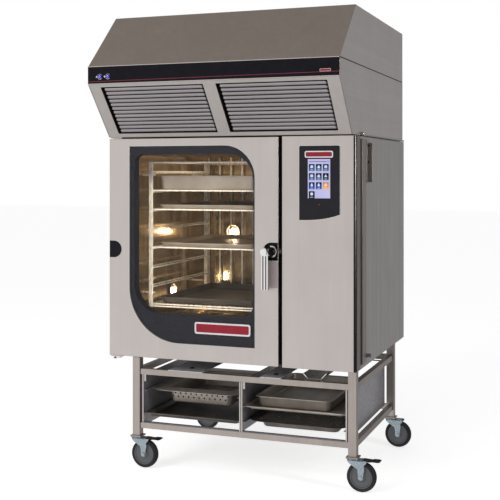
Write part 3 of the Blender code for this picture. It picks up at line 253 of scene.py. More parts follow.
finishes = {
    "frontSteel": brushedMetal("frontSteel", {
        "colour": (0.630, 0.578, 0.552), "tone": (0.590, 0.542, 0.518), "roughness": 0.36, "grain": "z",
        "streaks": 0.45, "smudges": 0.35}),
    "hoodSteel": brushedMetal("hoodSteel", {
        "colour": (0.600, 0.505, 0.440), "tone": (0.510, 0.425, 0.370), "roughness": 0.33, "grain": "z",
        "run": 0.5, "across": 0.0016, "streaks": 0.5, "smudges": 0.55}),
    "intakeSteel": brushedMetal("intakeSteel", {
        "colour": (0.610, 0.568, 0.545), "tone": (0.520, 0.482, 0.462), "roughness": 0.34, "grain": "z",
        "run": 0.5, "across": 0.0016, "streaks": 0.5, "smudges": 0.5}),
    "hoodSideSteel": brushedMetal("hoodSideSteel", {
        "colour": (0.640, 0.600, 0.585), "tone": (0.580, 0.545, 0.530), "roughness": 0.32, "grain": "y",
        "run": 0.9, "across": 0.0022, "streaks": 0.6, "smudges": 0.4}),
    "sideSteel": brushedMetal("sideSteel", {
        "colour": (0.520, 0.500, 0.480), "tone": (0.430, 0.415, 0.405), "roughness": 0.30, "grain": "z",
        "run": 0.9, "across": 0.0018, "streaks": 0.9, "smudges": 0.4}),
    "slatSteel": brushedMetal("slatSteel", {
        "colour": (0.440, 0.415, 0.425), "tone": (0.340, 0.320, 0.330), "roughness": 0.30, "grain": "x",
        "streaks": 0.6, "smudges": 0.3}),
    "standSteel": brushedMetal("standSteel", {
        "colour": (0.520, 0.462, 0.428), "tone": (0.410, 0.362, 0.332), "roughness": 0.36, "grain": "z",
        "run": 0.12, "streaks": 0.5, "smudges": 0.6}),
    # painted shade: a darker copy of the front steel for the panel's rounded corner, standing in for the
    # dark surroundings that corner reflects
    "paintedShadeCornerSteel": brushedMetal("paintedShadeCornerSteel", {
        "colour": (0.190, 0.172, 0.160), "tone": (0.130, 0.116, 0.108), "roughness": 0.22, "grain": "z",
        "run": 0.6, "streaks": 0.7, "smudges": 0.3}),
    "channelSteel": brushedMetal("channelSteel", {
        "colour": (0.370, 0.330, 0.305), "tone": (0.260, 0.225, 0.205), "roughness": 0.28, "grain": "z",
        "run": 0.7, "streaks": 0.8, "smudges": 0.4}),
    "backSteel": brushedMetal("backSteel", {
        "colour": (0.500, 0.480, 0.465), "tone": (0.420, 0.405, 0.395), "roughness": 0.40, "grain": "x",
        "streaks": 0.6, "smudges": 0.5}),
    "trimSteel": brushedMetal("trimSteel", {
        "colour": (0.500, 0.440, 0.400), "tone": (0.360, 0.320, 0.300), "roughness": 0.26, "grain": "z",
        "run": 0.7, "streaks": 0.8, "smudges": 0.4}),
    "panSteel": brushedMetal("panSteel", {
        "colour": (0.620, 0.560, 0.500), "tone": (0.380, 0.335, 0.290), "roughness": 0.34, "grain": "y",
        "run": 0.05, "across": 0.003, "streaks": 0.7, "smudges": 0.9, "metallic": 0.65}),
    "wornPanSteel": brushedMetal("wornPanSteel", {
        "colour": (0.240, 0.215, 0.195), "tone": (0.110, 0.095, 0.086), "roughness": 0.40, "grain": "y",
        "run": 0.04, "across": 0.004, "streaks": 0.8, "smudges": 1.0, "metallic": 0.65}),
    # the golden colour is the lamps' warm light painted into the steel: painted lamplight on the cavity
    # liner, baffle, coves, ribs and fan
    "cavitySteelLampTint": polishedMetal("cavitySteelLampTint", {
        "colour": (0.820, 0.670, 0.470), "tone": (0.420, 0.300, 0.170), "roughness": 0.12,
        "wave": (0.022, 0.022, 0.140), "depth": 0.0007, "metallic": 0.85}),
    "wireChrome": polishedMetal("wireChrome", {
        "colour": (0.800, 0.780, 0.750), "tone": (0.640, 0.600, 0.560), "roughness": 0.16,
        "wave": (0.015, 0.015, 0.015), "depth": 0.0002}),
    "rackWire": polishedMetal("rackWire", {
        "colour": (0.920, 0.905, 0.880), "tone": (0.800, 0.770, 0.730), "roughness": 0.24,
        "wave": (0.015, 0.015, 0.015), "depth": 0.0002, "metallic": 0.40}),
    "brightChrome": polishedMetal("brightChrome", {
        "colour": (0.800, 0.800, 0.800), "tone": (0.640, 0.640, 0.650), "roughness": 0.07,
        "wave": (0.060, 0.060, 0.060), "depth": 0.0002}),
    "casterZinc": galvanisedSheet("casterZinc", {
        "colour": (0.400, 0.460, 0.510), "tone": (0.260, 0.310, 0.350), "roughness": 0.30, "crystal": 0.003,
        "metallic": 0.75, "contrast": 0.7}),
    "galvanised": galvanisedSheet("galvanised", {
        "colour": (0.330, 0.320, 0.340), "tone": (0.220, 0.215, 0.235), "roughness": 0.36, "crystal": 0.006,
        "metallic": 0.50, "contrast": 0.25}),
    "plankZinc": galvanisedSheet("plankZinc", {
        "colour": (0.640, 0.630, 0.660), "tone": (0.500, 0.490, 0.520), "roughness": 0.42, "crystal": 0.006,
        "metallic": 0.30, "contrast": 0.25}),
    "fasciaBlack": mouldedPlastic("fasciaBlack", {
        "colour": (0.0050, 0.0045, 0.0075), "tone": (0.0085, 0.0080, 0.0120), "roughness": 0.20,
        "depth": 0.00001,
        "specular": 0.08}),
    "slatePrint": mouldedPlastic("slatePrint", {
        "colour": (0.027, 0.026, 0.033), "tone": (0.031, 0.030, 0.038), "roughness": 0.45, "depth": 0.00001,
        "specular": 0.10}),
    "bezelBlack": mouldedPlastic("bezelBlack", {
        "colour": (0.0135, 0.0125, 0.0155), "tone": (0.0185, 0.0175, 0.0215), "roughness": 0.34,
        "depth": 0.00002,
        "specular": 0.12}),
    "plugBlack": mouldedPlastic("plugBlack", {
        "colour": (0.0075, 0.0070, 0.0110), "tone": (0.0110, 0.0105, 0.0150), "roughness": 0.36,
        "depth": 0.00002,
        "specular": 0.10}),
    "handleBlack": mouldedPlastic("handleBlack", {
        "colour": (0.006, 0.006, 0.007), "tone": (0.014, 0.014, 0.015), "roughness": 0.36,
        "specular": 0.25}),
    "sealRubber": mouldedPlastic("sealRubber", {
        "colour": (0.016, 0.014, 0.014), "tone": (0.032, 0.028, 0.026), "roughness": 0.62,
        "pebble": 0.002}),
    # flat black: the bracket's screw heads, and painted shade in the hood seams, the door gap, the bracket
    # slots, behind the filter slats and in the rear louvres
    "blackAndPaintedShade": mouldedPlastic("blackAndPaintedShade", {
        "colour": (0.005, 0.004, 0.004), "tone": (0.009, 0.008, 0.007), "roughness": 0.70,
        "specular": 0.05}),
    "tyreRubber": mouldedPlastic("tyreRubber", {
        "colour": (0.018, 0.018, 0.021), "tone": (0.034, 0.034, 0.036), "roughness": 0.50, "pebble": 0.003,
        "depth": 0.0002, "specular": 0.12}),
    "wheelCentre": mouldedPlastic("wheelCentre", {
        "colour": (0.072, 0.075, 0.080), "tone": (0.100, 0.102, 0.106), "roughness": 0.38,
        "pebble": 0.002}),
    "badgeRed": mouldedPlastic("badgeRed", {
        "colour": (0.270, 0.010, 0.026), "tone": (0.200, 0.007, 0.019), "roughness": 0.28, "coat": 0.2,
        "depth": 0.00001, "specular": 0.15}),
    "linePaint": mouldedPlastic("linePaint", {
        "colour": (0.130, 0.006, 0.020), "tone": (0.210, 0.012, 0.034), "roughness": 0.30,
        "depth": 0.00001}),
    "badgeSilver": polishedMetal("badgeSilver", {
        "colour": (0.760, 0.750, 0.760), "tone": (0.620, 0.610, 0.620), "roughness": 0.22,
        "wave": (0.03, 0.03, 0.03), "depth": 0.0001}),
    # painted reflection and shadow: a mauve-beige tone for the patch beside the lever, standing in for the
    # lever's reflection and shadow on the brushed steel
    "leverReflectionMauve": mouldedPlastic("leverReflectionMauve", {
        "colour": (0.330, 0.275, 0.275), "tone": (0.370, 0.310, 0.305), "roughness": 0.40, "metallic": 0.3,
        "depth": 0.00002}),
    "buttonBlue": glowing("buttonBlue", {
        "colour": (0.008, 0.010, 0.300), "tone": (0.020, 0.024, 0.520), "strength": 0.12,
        "patch": (0.006, 0.006, 0.006)}),
    "markPale": mouldedPlastic("markPale", {
        "colour": (0.620, 0.620, 0.640), "tone": (0.520, 0.520, 0.540), "roughness": 0.35,
        "depth": 0.00001}),
    "motorPaint": mouldedPlastic("motorPaint", {
        "colour": (0.090, 0.095, 0.110), "tone": (0.130, 0.135, 0.145), "roughness": 0.48,
        "metallic": 0.2}),
    # dark brown sheath metal for the heater and lamp dishes. Also painted shade on the latch tongue, in the
    # lever's grooves and along the side channel
    "heaterSheathAndShade": brushedMetal("heaterSheathAndShade", {
        "colour": (0.260, 0.200, 0.165), "tone": (0.150, 0.115, 0.110), "roughness": 0.42, "grain": "x",
        "run": 0.02, "across": 0.01, "streaks": 1.0, "smudges": 1.0}),
    "paneGlass": clearGlass("paneGlass", {
        "colour": (0.020, 0.022, 0.022), "tone": (0.030, 0.032, 0.032), "roughness": 0.015, "cover": 0.07}),
    "lampGlow": glowing("lampGlow", {
        "colour": (1.000, 0.740, 0.400), "tone": (1.000, 0.860, 0.600), "strength": 80.0,
        "patch": (0.02, 0.02, 0.02)}),
    "screenGlow": glowing("screenGlow", {
        "colour": (0.360, 0.360, 0.580), "tone": (0.420, 0.420, 0.640), "strength": 0.16,
        "patch": (0.08, 0.08, 0.08)}),
    "brass": polishedMetal("brass", {
        "colour": (0.620, 0.450, 0.180), "tone": (0.480, 0.330, 0.130), "roughness": 0.28,
        "wave": (0.02, 0.02, 0.02), "depth": 0.0001}),
}
print("finishes made:", len(finishes))


# ---- mesh helpers

def block(x, y, z, edge=0.0, steps=2):
    bm = bmesh.new()
    bmesh.ops.create_cube(bm, size=1)
    bmesh.ops.scale(bm, vec=(x[1] - x[0], y[1] - y[0], z[1] - z[0]), verts=bm.verts)
    bmesh.ops.translate(bm, vec=(middle(x), middle(y), middle(z)), verts=bm.verts)
    if edge:
        bmesh.ops.bevel(bm, geom=bm.edges[:], offset=edge, segments=steps, profile=0.5, affect="EDGES",
            material=-1)
    return bm


def rod(start, end, radius, sides=10, edge=0.0):
    start, end = Vector(start), Vector(end)
    along = end - start
    turn = along.to_track_quat("Z", "Y").to_matrix().to_4x4()
    bm = bmesh.new()
    bmesh.ops.create_cone(bm, cap_ends=True, segments=sides, radius1=radius, radius2=radius,
        depth=along.length)
    if edge:
        rims = [e for e in bm.edges if abs(e.verts[0].co.z - e.verts[1].co.z) < 1e-6]
        bmesh.ops.bevel(bm, geom=rims, offset=edge, segments=3, profile=0.5, affect="EDGES", material=-1)
    bmesh.ops.transform(bm, matrix=Matrix.Translation((start + end) / 2) @ turn, verts=bm.verts)
    return bm


def gathered(*parts):
    whole = bmesh.new()
    for part in parts:
        mesh = bpy.data.meshes.new("part")
        part.to_mesh(mesh)
        part.free()
        whole.from_mesh(mesh)
        bpy.data.meshes.remove(mesh)
    return whole


def arc(centre, radius, start, sweep=90, steps=8):
    return [
        (
            centre[0] + radius * math.cos(math.radians(start + sweep * i / steps)),
            centre[1] + radius * math.sin(math.radians(start + sweep * i / steps)),
        )
        for i in range(steps + 1)
    ]


def roundedOutline(u, v, lowLeft=0.0, lowRight=0.0, topRight=0.0, topLeft=0.0, steps=8):
    outline = []
    for radius, centreU, centreV, start in (
        (lowLeft, u[0] + lowLeft, v[0] + lowLeft, 180),
        (lowRight, u[1] - lowRight, v[0] + lowRight, 270),
        (topRight, u[1] - topRight, v[1] - topRight, 0),
        (topLeft, u[0] + topLeft, v[1] - topLeft, 90),
    ):
        outline += arc((centreU, centreV), radius, start, 90, steps) if radius else [(centreU, centreV)]
    return outline


def evenCorners(u, v, radius, steps=8):
    return roundedOutline(u, v, radius, radius, radius, radius, steps)


axisOrder = {
    "x": lambda u, v, w: (w, u, v),
    "y": lambda u, v, w: (u, w, v),
    "z": lambda u, v, w: (u, v, w),
}


def thickened(bm, along, axis):  # a flat face or ring at along[0] grown to along[1]
    order = axisOrder[axis]
    grown = bmesh.ops.extrude_face_region(bm, geom=bm.faces[:])
    moved = [item for item in grown["geom"] if isinstance(item, bmesh.types.BMVert)]
    bmesh.ops.translate(bm, vec=order(0, 0, along[1] - along[0]), verts=moved)
    bmesh.ops.recalc_face_normals(bm, faces=bm.faces)
    return bm


def softened(bm, edge, steps=2, angle=30):  # rounds every edge sharper than the angle
    sharp = [e for e in bm.edges if len(e.link_faces) == 2 and e.calc_face_angle(0) > math.radians(angle)]
    bmesh.ops.bevel(bm, geom=sharp, offset=edge, segments=steps, profile=0.5, affect="EDGES",
        clamp_overlap=True, material=-1)
    return bm


def plate(outline, along, axis="y", edge=0.0, steps=2):  # a flat outline with a thickness
    order = axisOrder[axis]
    bm = bmesh.new()
    bm.faces.new([bm.verts.new(order(u, v, along[0])) for u, v in outline])
    thickened(bm, along, axis)
    return softened(bm, edge, steps) if edge else bm


def ringPlate(outer, inners, along, axis="y", edge=0.0):  # an outline with holes in it
    order = axisOrder[axis]
    bm = bmesh.new()
    for loop in (outer, *inners):
        verts = [bm.verts.new(order(u, v, along[0])) for u, v in loop]
        for a, b in zip(verts, verts[1:] + verts[:1]):
            bm.edges.new((a, b))
    bmesh.ops.triangle_fill(bm, use_beauty=True, use_dissolve=False, edges=bm.edges[:])
    thickened(bm, along, axis)
    return softened(bm, edge) if edge else bm


def turned(profile, centre, axis="y", steps=48):  # a (radius, along) outline spun round
    direction = {"x": Vector((1, 0, 0)), "y": Vector((0, 1, 0)), "z": Vector((0, 0, 1))}[axis]
    side = {"x": Vector((0, 0, 1)), "y": Vector((0, 0, 1)), "z": Vector((1, 0, 0))}[axis]
    bm = bmesh.new()
    verts = [bm.verts.new(Vector(centre) + side * r + direction * h) for r, h in profile]
    pairs = list(zip(verts, verts[1:]))
    if profile[0][0] > 1e-6 or profile[-1][0] > 1e-6:
        pairs.append((verts[-1], verts[0]))
    edges = [bm.edges.new(pair) for pair in pairs]
    bmesh.ops.spin(bm, geom=verts + edges, cent=centre, axis=direction, dvec=(0, 0, 0),
                   angle=2 * math.pi, steps=steps, use_merge=True, use_duplicate=False)
    bmesh.ops.remove_doubles(bm, verts=bm.verts, dist=1e-6)
    bmesh.ops.recalc_face_normals(bm, faces=bm.faces)
    return bm


def wire(points, radius, closed=False, sides=8):  # a round wire along points
    curve = bpy.data.curves.new("wire", "CURVE")
    curve.dimensions = "3D"
    spline = curve.splines.new("POLY")
    spline.points.add(len(points) - 1)
    for spot, point in zip(spline.points, points):
        spot.co = (*point, 1.0)
    spline.use_cyclic_u = closed
    curve.bevel_depth = radius
    curve.bevel_resolution = max(sides // 2 - 2, 0)
    curve.use_fill_caps = True
    holder = bpy.data.objects.new("wire", curve)
    mesh = bpy.data.meshes.new_from_object(holder)
    bm = bmesh.new()
    bm.from_mesh(mesh)
    bpy.data.objects.remove(holder)
    bpy.data.curves.remove(curve)
    bpy.data.meshes.remove(mesh)
    bmesh.ops.remove_doubles(bm, verts=bm.verts, dist=1e-6)
    bmesh.ops.recalc_face_normals(bm, faces=bm.faces)
    return bm


def moved(bm, matrix):
    bmesh.ops.transform(bm, matrix=matrix, verts=bm.verts)
    return bm


def drilled(bm, cutters):  # holes cut by closed shapes that don't touch each other
    holders = []
    for part in (bm, gathered(*cutters)):
        mesh = bpy.data.meshes.new("drill")
        part.to_mesh(mesh)
        part.free()
        holders.append(bpy.data.objects.new("drill", mesh))
        bpy.context.scene.collection.objects.link(holders[-1])
    boolean = holders[0].modifiers.new("Holes", "BOOLEAN")
    boolean.operation = "DIFFERENCE"
    boolean.solver = "EXACT"
    boolean.object = holders[1]
    result = bmesh.new()
    result.from_object(holders[0], bpy.context.evaluated_depsgraph_get())
    for holder in holders:
        mesh = holder.data
        bpy.data.objects.remove(holder)
        bpy.data.meshes.remove(mesh)
    return result


def addPiece(name, bm, finish, body, stands=(), crease=35):
    bmesh.ops.recalc_face_normals(bm, faces=bm.faces)
    bmesh.ops.translate(bm, vec=corner, verts=bm.verts)
    mesh = bpy.data.meshes.new(name)
    bm.to_mesh(mesh)
    bm.free()
    mesh.materials.append(finishes[finish])
    mesh.shade_smooth()
    mesh.set_sharp_from_angle(angle=math.radians(crease))
    piece = bpy.data.objects.new(name, mesh)
    evenNormals = piece.modifiers.new("Even normals", "WEIGHTED_NORMAL")
    evenNormals.keep_sharp = True
    bpy.context.scene.collection.objects.link(piece)
    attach(piece, body)
    if stands:
        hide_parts(*stands)
    return piece


def dress(node, finish):  # the solid as it is, with the given finish
    nodes[node].data.materials.clear()
    nodes[node].data.materials.append(finishes[finish])


def refine(node, name, finish, edge, steps=2, crease=30):  # the same shape with its edges rounded
    bm = bmesh.new()
    bm.from_mesh(nodes[node].data)
    bmesh.ops.remove_doubles(bm, verts=bm.verts, dist=0.00002)
    bmesh.ops.dissolve_limit(bm, angle_limit=math.radians(1.0), verts=bm.verts, edges=bm.edges,
        use_dissolve_boundaries=False)
    softened(bm, edge, steps, 28)
    bmesh.ops.translate(bm, vec=-corner, verts=bm.verts)
    return addPiece(name, bm, finish, bodyOf(node), (node,), crease)


# ---- camera, light and floor

view = {
    "place": (1.5257, -4.2953, 1.3086), "turn": 20.08, "lens": 70.80, "sensor": 36.0,
    "shift": (-0.0193, -0.1536), "floorSide": 60.0,
}


def addCamera():
    camera = bpy.data.cameras.new("camera")
    camera.lens = view["lens"]
    camera.sensor_width = view["sensor"]
    camera.shift_x, camera.shift_y = view["shift"]
    camera.clip_end = 200.0
    holder = bpy.data.objects.new("camera", camera)
    holder.location = view["place"]
    holder.rotation_euler = (math.radians(90), 0, math.radians(view["turn"]))
    bpy.context.scene.collection.objects.link(holder)
    bpy.context.scene.camera = holder


studio = {
    "front": 1.0, "behind": 0.40, "overhead": 0.48, "below": 0.92, "right": 0.05, "lean": -0.5, "seen": 1.0,
    "lights": (
        ("keyLight", (-2.6, -4.2, 2.9), (0, 0, 1.1), 1.6, 1.6, 60.0, False),
        ("lowLight", (0.6, -3.6, 0.35), (0, 0, 0.4), 1.8, 0.5, 16.0, False),
        ("cornerLight", (3.6, -1.25, 1.75), (0.6, -0.4, 1.3), 0.32, 1.30, 34.0, True),
    ),
}


def multiplied(tree, first, second):
    node = tree.nodes.new("ShaderNodeMath")
    node.operation = "MULTIPLY"
    tree.links.new(first, node.inputs[0])
    tree.links.new(second, node.inputs[1])
    return node.outputs[0]


def addStudio():
    world = bpy.data.worlds.new("studio")
    world.use_nodes = True
    bpy.context.scene.world = world
    tree = world.node_tree
    background = tree.nodes["Background"]
    coords = tree.nodes.new("ShaderNodeTexCoord")
    split = tree.nodes.new("ShaderNodeSeparateXYZ")
    tree.links.new(coords.outputs["Generated"], split.inputs["Vector"])
    glow = remap(tree, split.outputs["Y"], studio["front"], studio["behind"], -0.55, 0.55)
    glow = multiplied(tree, glow, remap(tree, split.outputs["Z"], 1.0, studio["overhead"], 0.10, 0.85))
    glow = multiplied(tree, glow, remap(tree, split.outputs["Z"], studio["below"], 1.0, -0.85, -0.20))
    rightward = summed(tree, split.outputs["X"], split.outputs["Y"], studio["lean"])
    glow = multiplied(tree, glow, remap(tree, rightward, 1.0, studio["right"], 0.40, 0.72))
    path = tree.nodes.new("ShaderNodeLightPath")
    strength = tree.nodes.new("ShaderNodeMix")
    tree.links.new(path.outputs["Is Camera Ray"], strength.inputs[0])
    tree.links.new(glow, strength.inputs[2])
    strength.inputs[3].default_value = studio["seen"]
    tree.links.new(strength.outputs[0], background.inputs["Strength"])
    background.inputs["Color"].default_value = (1.0, 1.0, 1.0, 1.0)
    for name, place, aim, width, height, power, mirrored in studio["lights"]:
        light = bpy.data.lights.new(name, "AREA")
        light.shape = "RECTANGLE"
        light.size, light.size_y, light.energy = width, height, power
        holder = bpy.data.objects.new(name, light)
        holder.location = place
        holder.rotation_euler = (Vector(aim) - Vector(place)).to_track_quat("-Z", "Y").to_euler()
        holder.visible_glossy = mirrored
        bpy.context.scene.collection.objects.link(holder)
    bpy.context.scene.view_settings.view_transform = "Standard"


def addFloor():
    side = view["floorSide"] / 2
    bm = bmesh.new()
    bmesh.ops.create_grid(bm, x_segments=1, y_segments=1, size=side)
    mesh = bpy.data.meshes.new("studioFloor")
    bm.to_mesh(mesh)
    bm.free()
    floorPaint, tree, shader = startMaterial("floorPaint", (0.86, 0.86, 0.86), 0.55)
    mottle = patches(tree, (1.4, 1.4, 1.4), 3.0)
    tree.links.new(blended(tree, mottle, (0.85, 0.85, 0.85), (0.88, 0.88, 0.88)),
        shader.inputs["Base Color"])
    shader.inputs["Emission Color"].default_value = (1, 1, 1, 1)
    shader.inputs["Emission Strength"].default_value = 0.68
    shader.inputs["Specular IOR Level"].default_value = 0.1
    mesh.materials.append(floorPaint)
    floor = bpy.data.objects.new("studioFloor", mesh)
    floor.location.z = -0.0005
    floor.visible_glossy = False
    bpy.context.scene.collection.objects.link(floor)


addCamera()
addStudio()
addFloor()
print("camera, studio and floor set")


# ---- hood

oven = bodyOf("cabinet_top")
hoodX, hoodY, hoodZ = extent("hood_shell")
fasciaX, fasciaY, fasciaZ = extent("hood_fascia")
noseY = fasciaY[1]
noseZ = (fasciaZ[0] - 0.001, fasciaZ[1] + 0.001)
hoodFoot = Vector((0, 0, hoodZ[0]))
slopeUp = Vector((0, noseY, noseZ[0] - hoodZ[0])).normalized()
slopeOut = Vector((0, -slopeUp.z, slopeUp.y))
slopeFrame = Matrix.Translation(hoodFoot) @ Matrix((
    (1, 0, 0, 0), (0, slopeUp.y, slopeOut.y, 0), (0, slopeUp.z, slopeOut.z, 0), (0, 0, 0, 1)))  # x, up the slope, out of it

hoodSizes = {
    "sidePlate": 0.0009, "seamZ": noseZ[1], "crestY": 0.059, "trimHeight": 0.007, "trimOut": 0.010,
    "lineZ": (0.0085, 0.0160), "lineHeight": 0.0024, "edgeRod": 0.0017, "badgeX": (1.036, 1.082),
    "badgeZ": (0.018, 0.029),
}


def addHoodSkins():
    refine("hood_shell", "hoodShell", "hoodSteel", 0.0014, 3)
    thick = hoodSizes["sidePlate"]
    profile = [
        (hoodFoot.y + 0.004, hoodZ[0] + 0.001),
        (noseY + 0.002, noseZ[0]),
        (noseY + 0.002, hoodSizes["seamZ"] - 0.002),
        (hoodY[1] - 0.001, hoodSizes["seamZ"] - 0.002),
        (hoodY[1] - 0.001, hoodZ[0] + 0.001),
    ]
    for name, along in (
        ("hoodSidePlateLeft", (hoodX[0] - thick, hoodX[0])),
        ("hoodSidePlateRight", (hoodX[1], hoodX[1] + thick)),
    ):
        addPiece(name, plate(profile, along, "x", 0.0004), "hoodSideSteel", oven)
    upper = [
        (noseY + 0.003, hoodSizes["seamZ"] + 0.002),
        (hoodSizes["crestY"] + 0.001, hoodZ[1] - 0.002),
        (hoodY[1] - 0.001, hoodZ[1] - 0.002),
        (hoodY[1] - 0.001, hoodSizes["seamZ"] + 0.002),
    ]
    for name, along in (
        ("hoodCheekLeft", (hoodX[0] - thick / 2, hoodX[0])),
        ("hoodCheekRight", (hoodX[1], hoodX[1] + thick / 2)),
    ):
        addPiece(name, plate(upper, along, "x", 0.0002), "hoodSideSteel", oven)
    # a thin black strip in the gap between side plate and cheek: painted shade in the seam
    for name, x in (("hoodSeamShadeLeft", hoodX[0] - 0.0002), ("hoodSeamShadeRight", hoodX[1] + 0.0002)):
        seamShade = block(widened((x, x), 0.0002), (noseY + 0.001, hoodY[1] - 0.004),
            widened((hoodSizes["seamZ"], hoodSizes["seamZ"]), 0.0018))
        addPiece(name, seamShade, "blackAndPaintedShade", oven)


def addHoodTrim():
    rods = []
    for x in (hoodX[0] + 0.0012, hoodX[1] - 0.0012):
        foot = Vector((x, 0, hoodFoot.z)) + slopeUp * 0.004 + slopeOut * 0.0002
        head = Vector((x, noseY, noseZ[0])) - slopeUp * 0.004 + slopeOut * 0.0002
        rods.append(rod(foot, head, hoodSizes["edgeRod"], 12, 0.0005))
    addPiece("hoodEdgeRods", gathered(*rods), "hoodSideSteel", oven)
    low = hoodZ[0] - 0.001
    z = (low, low + hoodSizes["trimHeight"])
    for name, x in (
        ("hoodFootTrimLeft", (hoodX[0] - 0.004, hoodX[0] + 0.002)),
        ("hoodFootTrimRight", (hoodX[1] - 0.002, hoodX[1] + hoodSizes["trimOut"])),
    ):
        addPiece(name, block(x, (0.168, hoodY[1] - 0.004), z, 0.0024, 4), "slatSteel", oven)
    clip = block((hoodX[1] - 0.001, hoodX[1] + 0.013), (0.140, 0.168), (low, low + 0.016), 0.003, 3)
    addPiece("hoodFootClip", clip, "wireChrome", oven)


def addFascia():
    refine("hood_fascia", "hoodFascia", "fasciaBlack", 0.0008)
    front = fasciaY[0]
    reach = widened(fasciaX, -0.001)
    left, right = (noseZ[0] + rise for rise in hoodSizes["lineZ"])
    thick = hoodSizes["lineHeight"]
    outline = [(reach[0], left), (reach[1], right), (reach[1], right + thick), (reach[0], left + thick)]
    addPiece("fasciaLine", plate(outline, (front - 0.0004, front + 0.0004), "y", 0.0001, 1), "linePaint",
        oven)
    for name, z in (("fasciaEdgeTop", noseZ[1]), ("fasciaEdgeLow", noseZ[0])):
        strip = block(widened(fasciaX, 0.0006), (front - 0.0010, front + 0.003), widened((z, z), 0.0016),
            0.0007, 3)
        addPiece(name, strip, "frontSteel", oven)
    badgeZ = [noseZ[0] + z for z in hoodSizes["badgeZ"]]
    addBadge("fasciaBadge", hoodSizes["badgeX"], badgeZ, front, 0.0014, 0.004, oven)


def addBadge(name, x, z, front, rim, radius, body):  # a blank enamel badge with a silver rim
    outer = evenCorners(x, z, radius)
    inner = evenCorners(widened(x, -rim), widened(z, -rim), radius - rim * 0.6)
    ring = ringPlate(outer, [inner], (front - 0.0018, front + 0.0002), "y", 0.0003)
    addPiece(name + "Rim", ring, "badgeSilver", body)
    field = plate(evenCorners(widened(x, -rim), widened(z, -rim), radius - rim * 0.6),
        (front - 0.0011, front + 0.0002), "y", 0.0002)
    addPiece(name + "Field", field, "badgeRed", body)


def addHoodButtons():
    for node, number in (("hood_fan_button", 1), ("hood_lamp_button", 2)):
        x, y, z = extent(node)
        centre = (middle(x), 0, middle(z))
        radius = (x[1] - x[0]) / 2
        face = y[0]
        cap = [(0, face), (radius * 0.80, face), (radius * 0.95, face + 0.0008), (radius, face + 0.0022),
            (radius, y[1]), (0, y[1])]
        addPiece(f"hoodButton{number}", turned(cap, centre, "y", 40), "buttonBlue", bodyOf(node),
            (node,))
        mark = turned(
            [(radius * 0.36, face - 0.0003), (radius * 0.52, face - 0.0003), (radius * 0.52, face + 0.0004),
                (radius * 0.36, face + 0.0004)],
            centre, "y", 32)
        pip = block(widened((centre[0], centre[0]), 0.0006), (face - 0.0003, face + 0.0004),
            (centre[2] + 0.0015, centre[2] + radius * 0.72), 0.0002, 1)
        addPiece(f"hoodButtonMark{number}", gathered(mark, pip), "markPale", bodyOf(node))
        front = fasciaY[0]
        collar = turned(
            [(radius + 0.0006, front + 0.001), (radius + 0.0006, front - 0.0012),
                (radius + 0.0016, front - 0.0020),
             (radius + 0.0030, front - 0.0012), (radius + 0.0034, front + 0.001)],
            centre, "y", 40)
        addPiece(f"hoodButtonCollar{number}", collar, "brightChrome", oven)
        dotX = centre[0] - radius - 0.0075
        dot = turned([(0, front - 0.0010), (0.0030, front - 0.0008), (0.0038, front),
            (0.0038, front + 0.001), (0, front + 0.001)], (dotX, 0, centre[2]), "y", 24)
        addPiece(f"hoodButtonLight{number}", dot, "markPale", oven)


filterSizes = {
    "slats": 12, "rim": 0.004, "recess": 0.012, "leftGap": 0.013, "rightGap": 0.0015,
    "slatRise": 0.0052, "slatShare": 0.84,
}


def addBaffleFilters():
    openings = []
    for node, name in (("baffle_filter_left", "baffleFilterLeft"),
            ("baffle_filter_right", "baffleFilterRight")):
        x, y, z = extent(node)
        inverse = slopeFrame.inverted()
        points = [inverse @ (v.co - corner) for v in nodes[node].data.vertices]
        low, high = min(p.y for p in points), max(p.y for p in points)
        rim = filterSizes["rim"]
        frameRing = ringPlate(evenCorners(x, (low, high), 0.003),
            [evenCorners(widened(x, -rim), (low + rim, high - rim), 0.002)], (-0.0130, -0.0012), "z",
            0.0006)
        backing = block(widened(x, -rim / 2), (low + rim / 2, high - rim / 2),
            (-0.0135, -filterSizes["recess"]))
        pitch = (high - low - 2 * rim) / filterSizes["slats"]
        width = pitch * filterSizes["slatShare"]
        reach = (x[0] + filterSizes["leftGap"], x[1] - filterSizes["rightGap"])
        openings.append(evenCorners(widened(x, 0.0008), (low - 0.0008, high + 0.0008), 0.0030))
        slats = []
        for i in range(filterSizes["slats"]):
            foot = low + rim + pitch * (i + 0.10)
            outline = evenCorners(reach, (foot, foot + width), width * 0.46, 7)
            slat = plate(outline, (-0.0075, filterSizes["slatRise"] - 0.0035), "z")
            top = [e for e in slat.edges if all(v.co.z > -0.001 for v in e.verts)]
            bmesh.ops.bevel(slat, geom=top, offset=width * 0.36, segments=6, profile=0.5, affect="EDGES",
                clamp_overlap=True, material=-1)
            slats.append(slat)
        fins = []
        for i in range(filterSizes["slats"] - 1):
            foot = low + rim + pitch * (i + 0.985)
            fins.append(block((x[0] + 0.010, reach[1]), (foot - 0.0012, foot + 0.0012), (-0.0115, -0.0065)))
        body = bodyOf(node)
        addPiece(name, moved(gathered(*slats), slopeFrame), "slatSteel", body, (node,), 40)
        addPiece(name + "Shadow", moved(gathered(frameRing, backing, *fins), slopeFrame), "blackAndPaintedShade", body)
    reach = Vector((0, noseY, noseZ[0] - hoodZ[0])).length
    face = evenCorners(widened(hoodX, -0.0012), (0.004, reach - 0.003), 0.0010)
    skin = ringPlate(face, openings, (-0.0002, 0.0003), "z")
    addPiece("hoodIntakeFace", moved(skin, slopeFrame), "intakeSteel", oven)


addHoodSkins()
addHoodTrim()
addFascia()
addHoodButtons()
addBaffleFilters()
print("hood built")


# ---- door

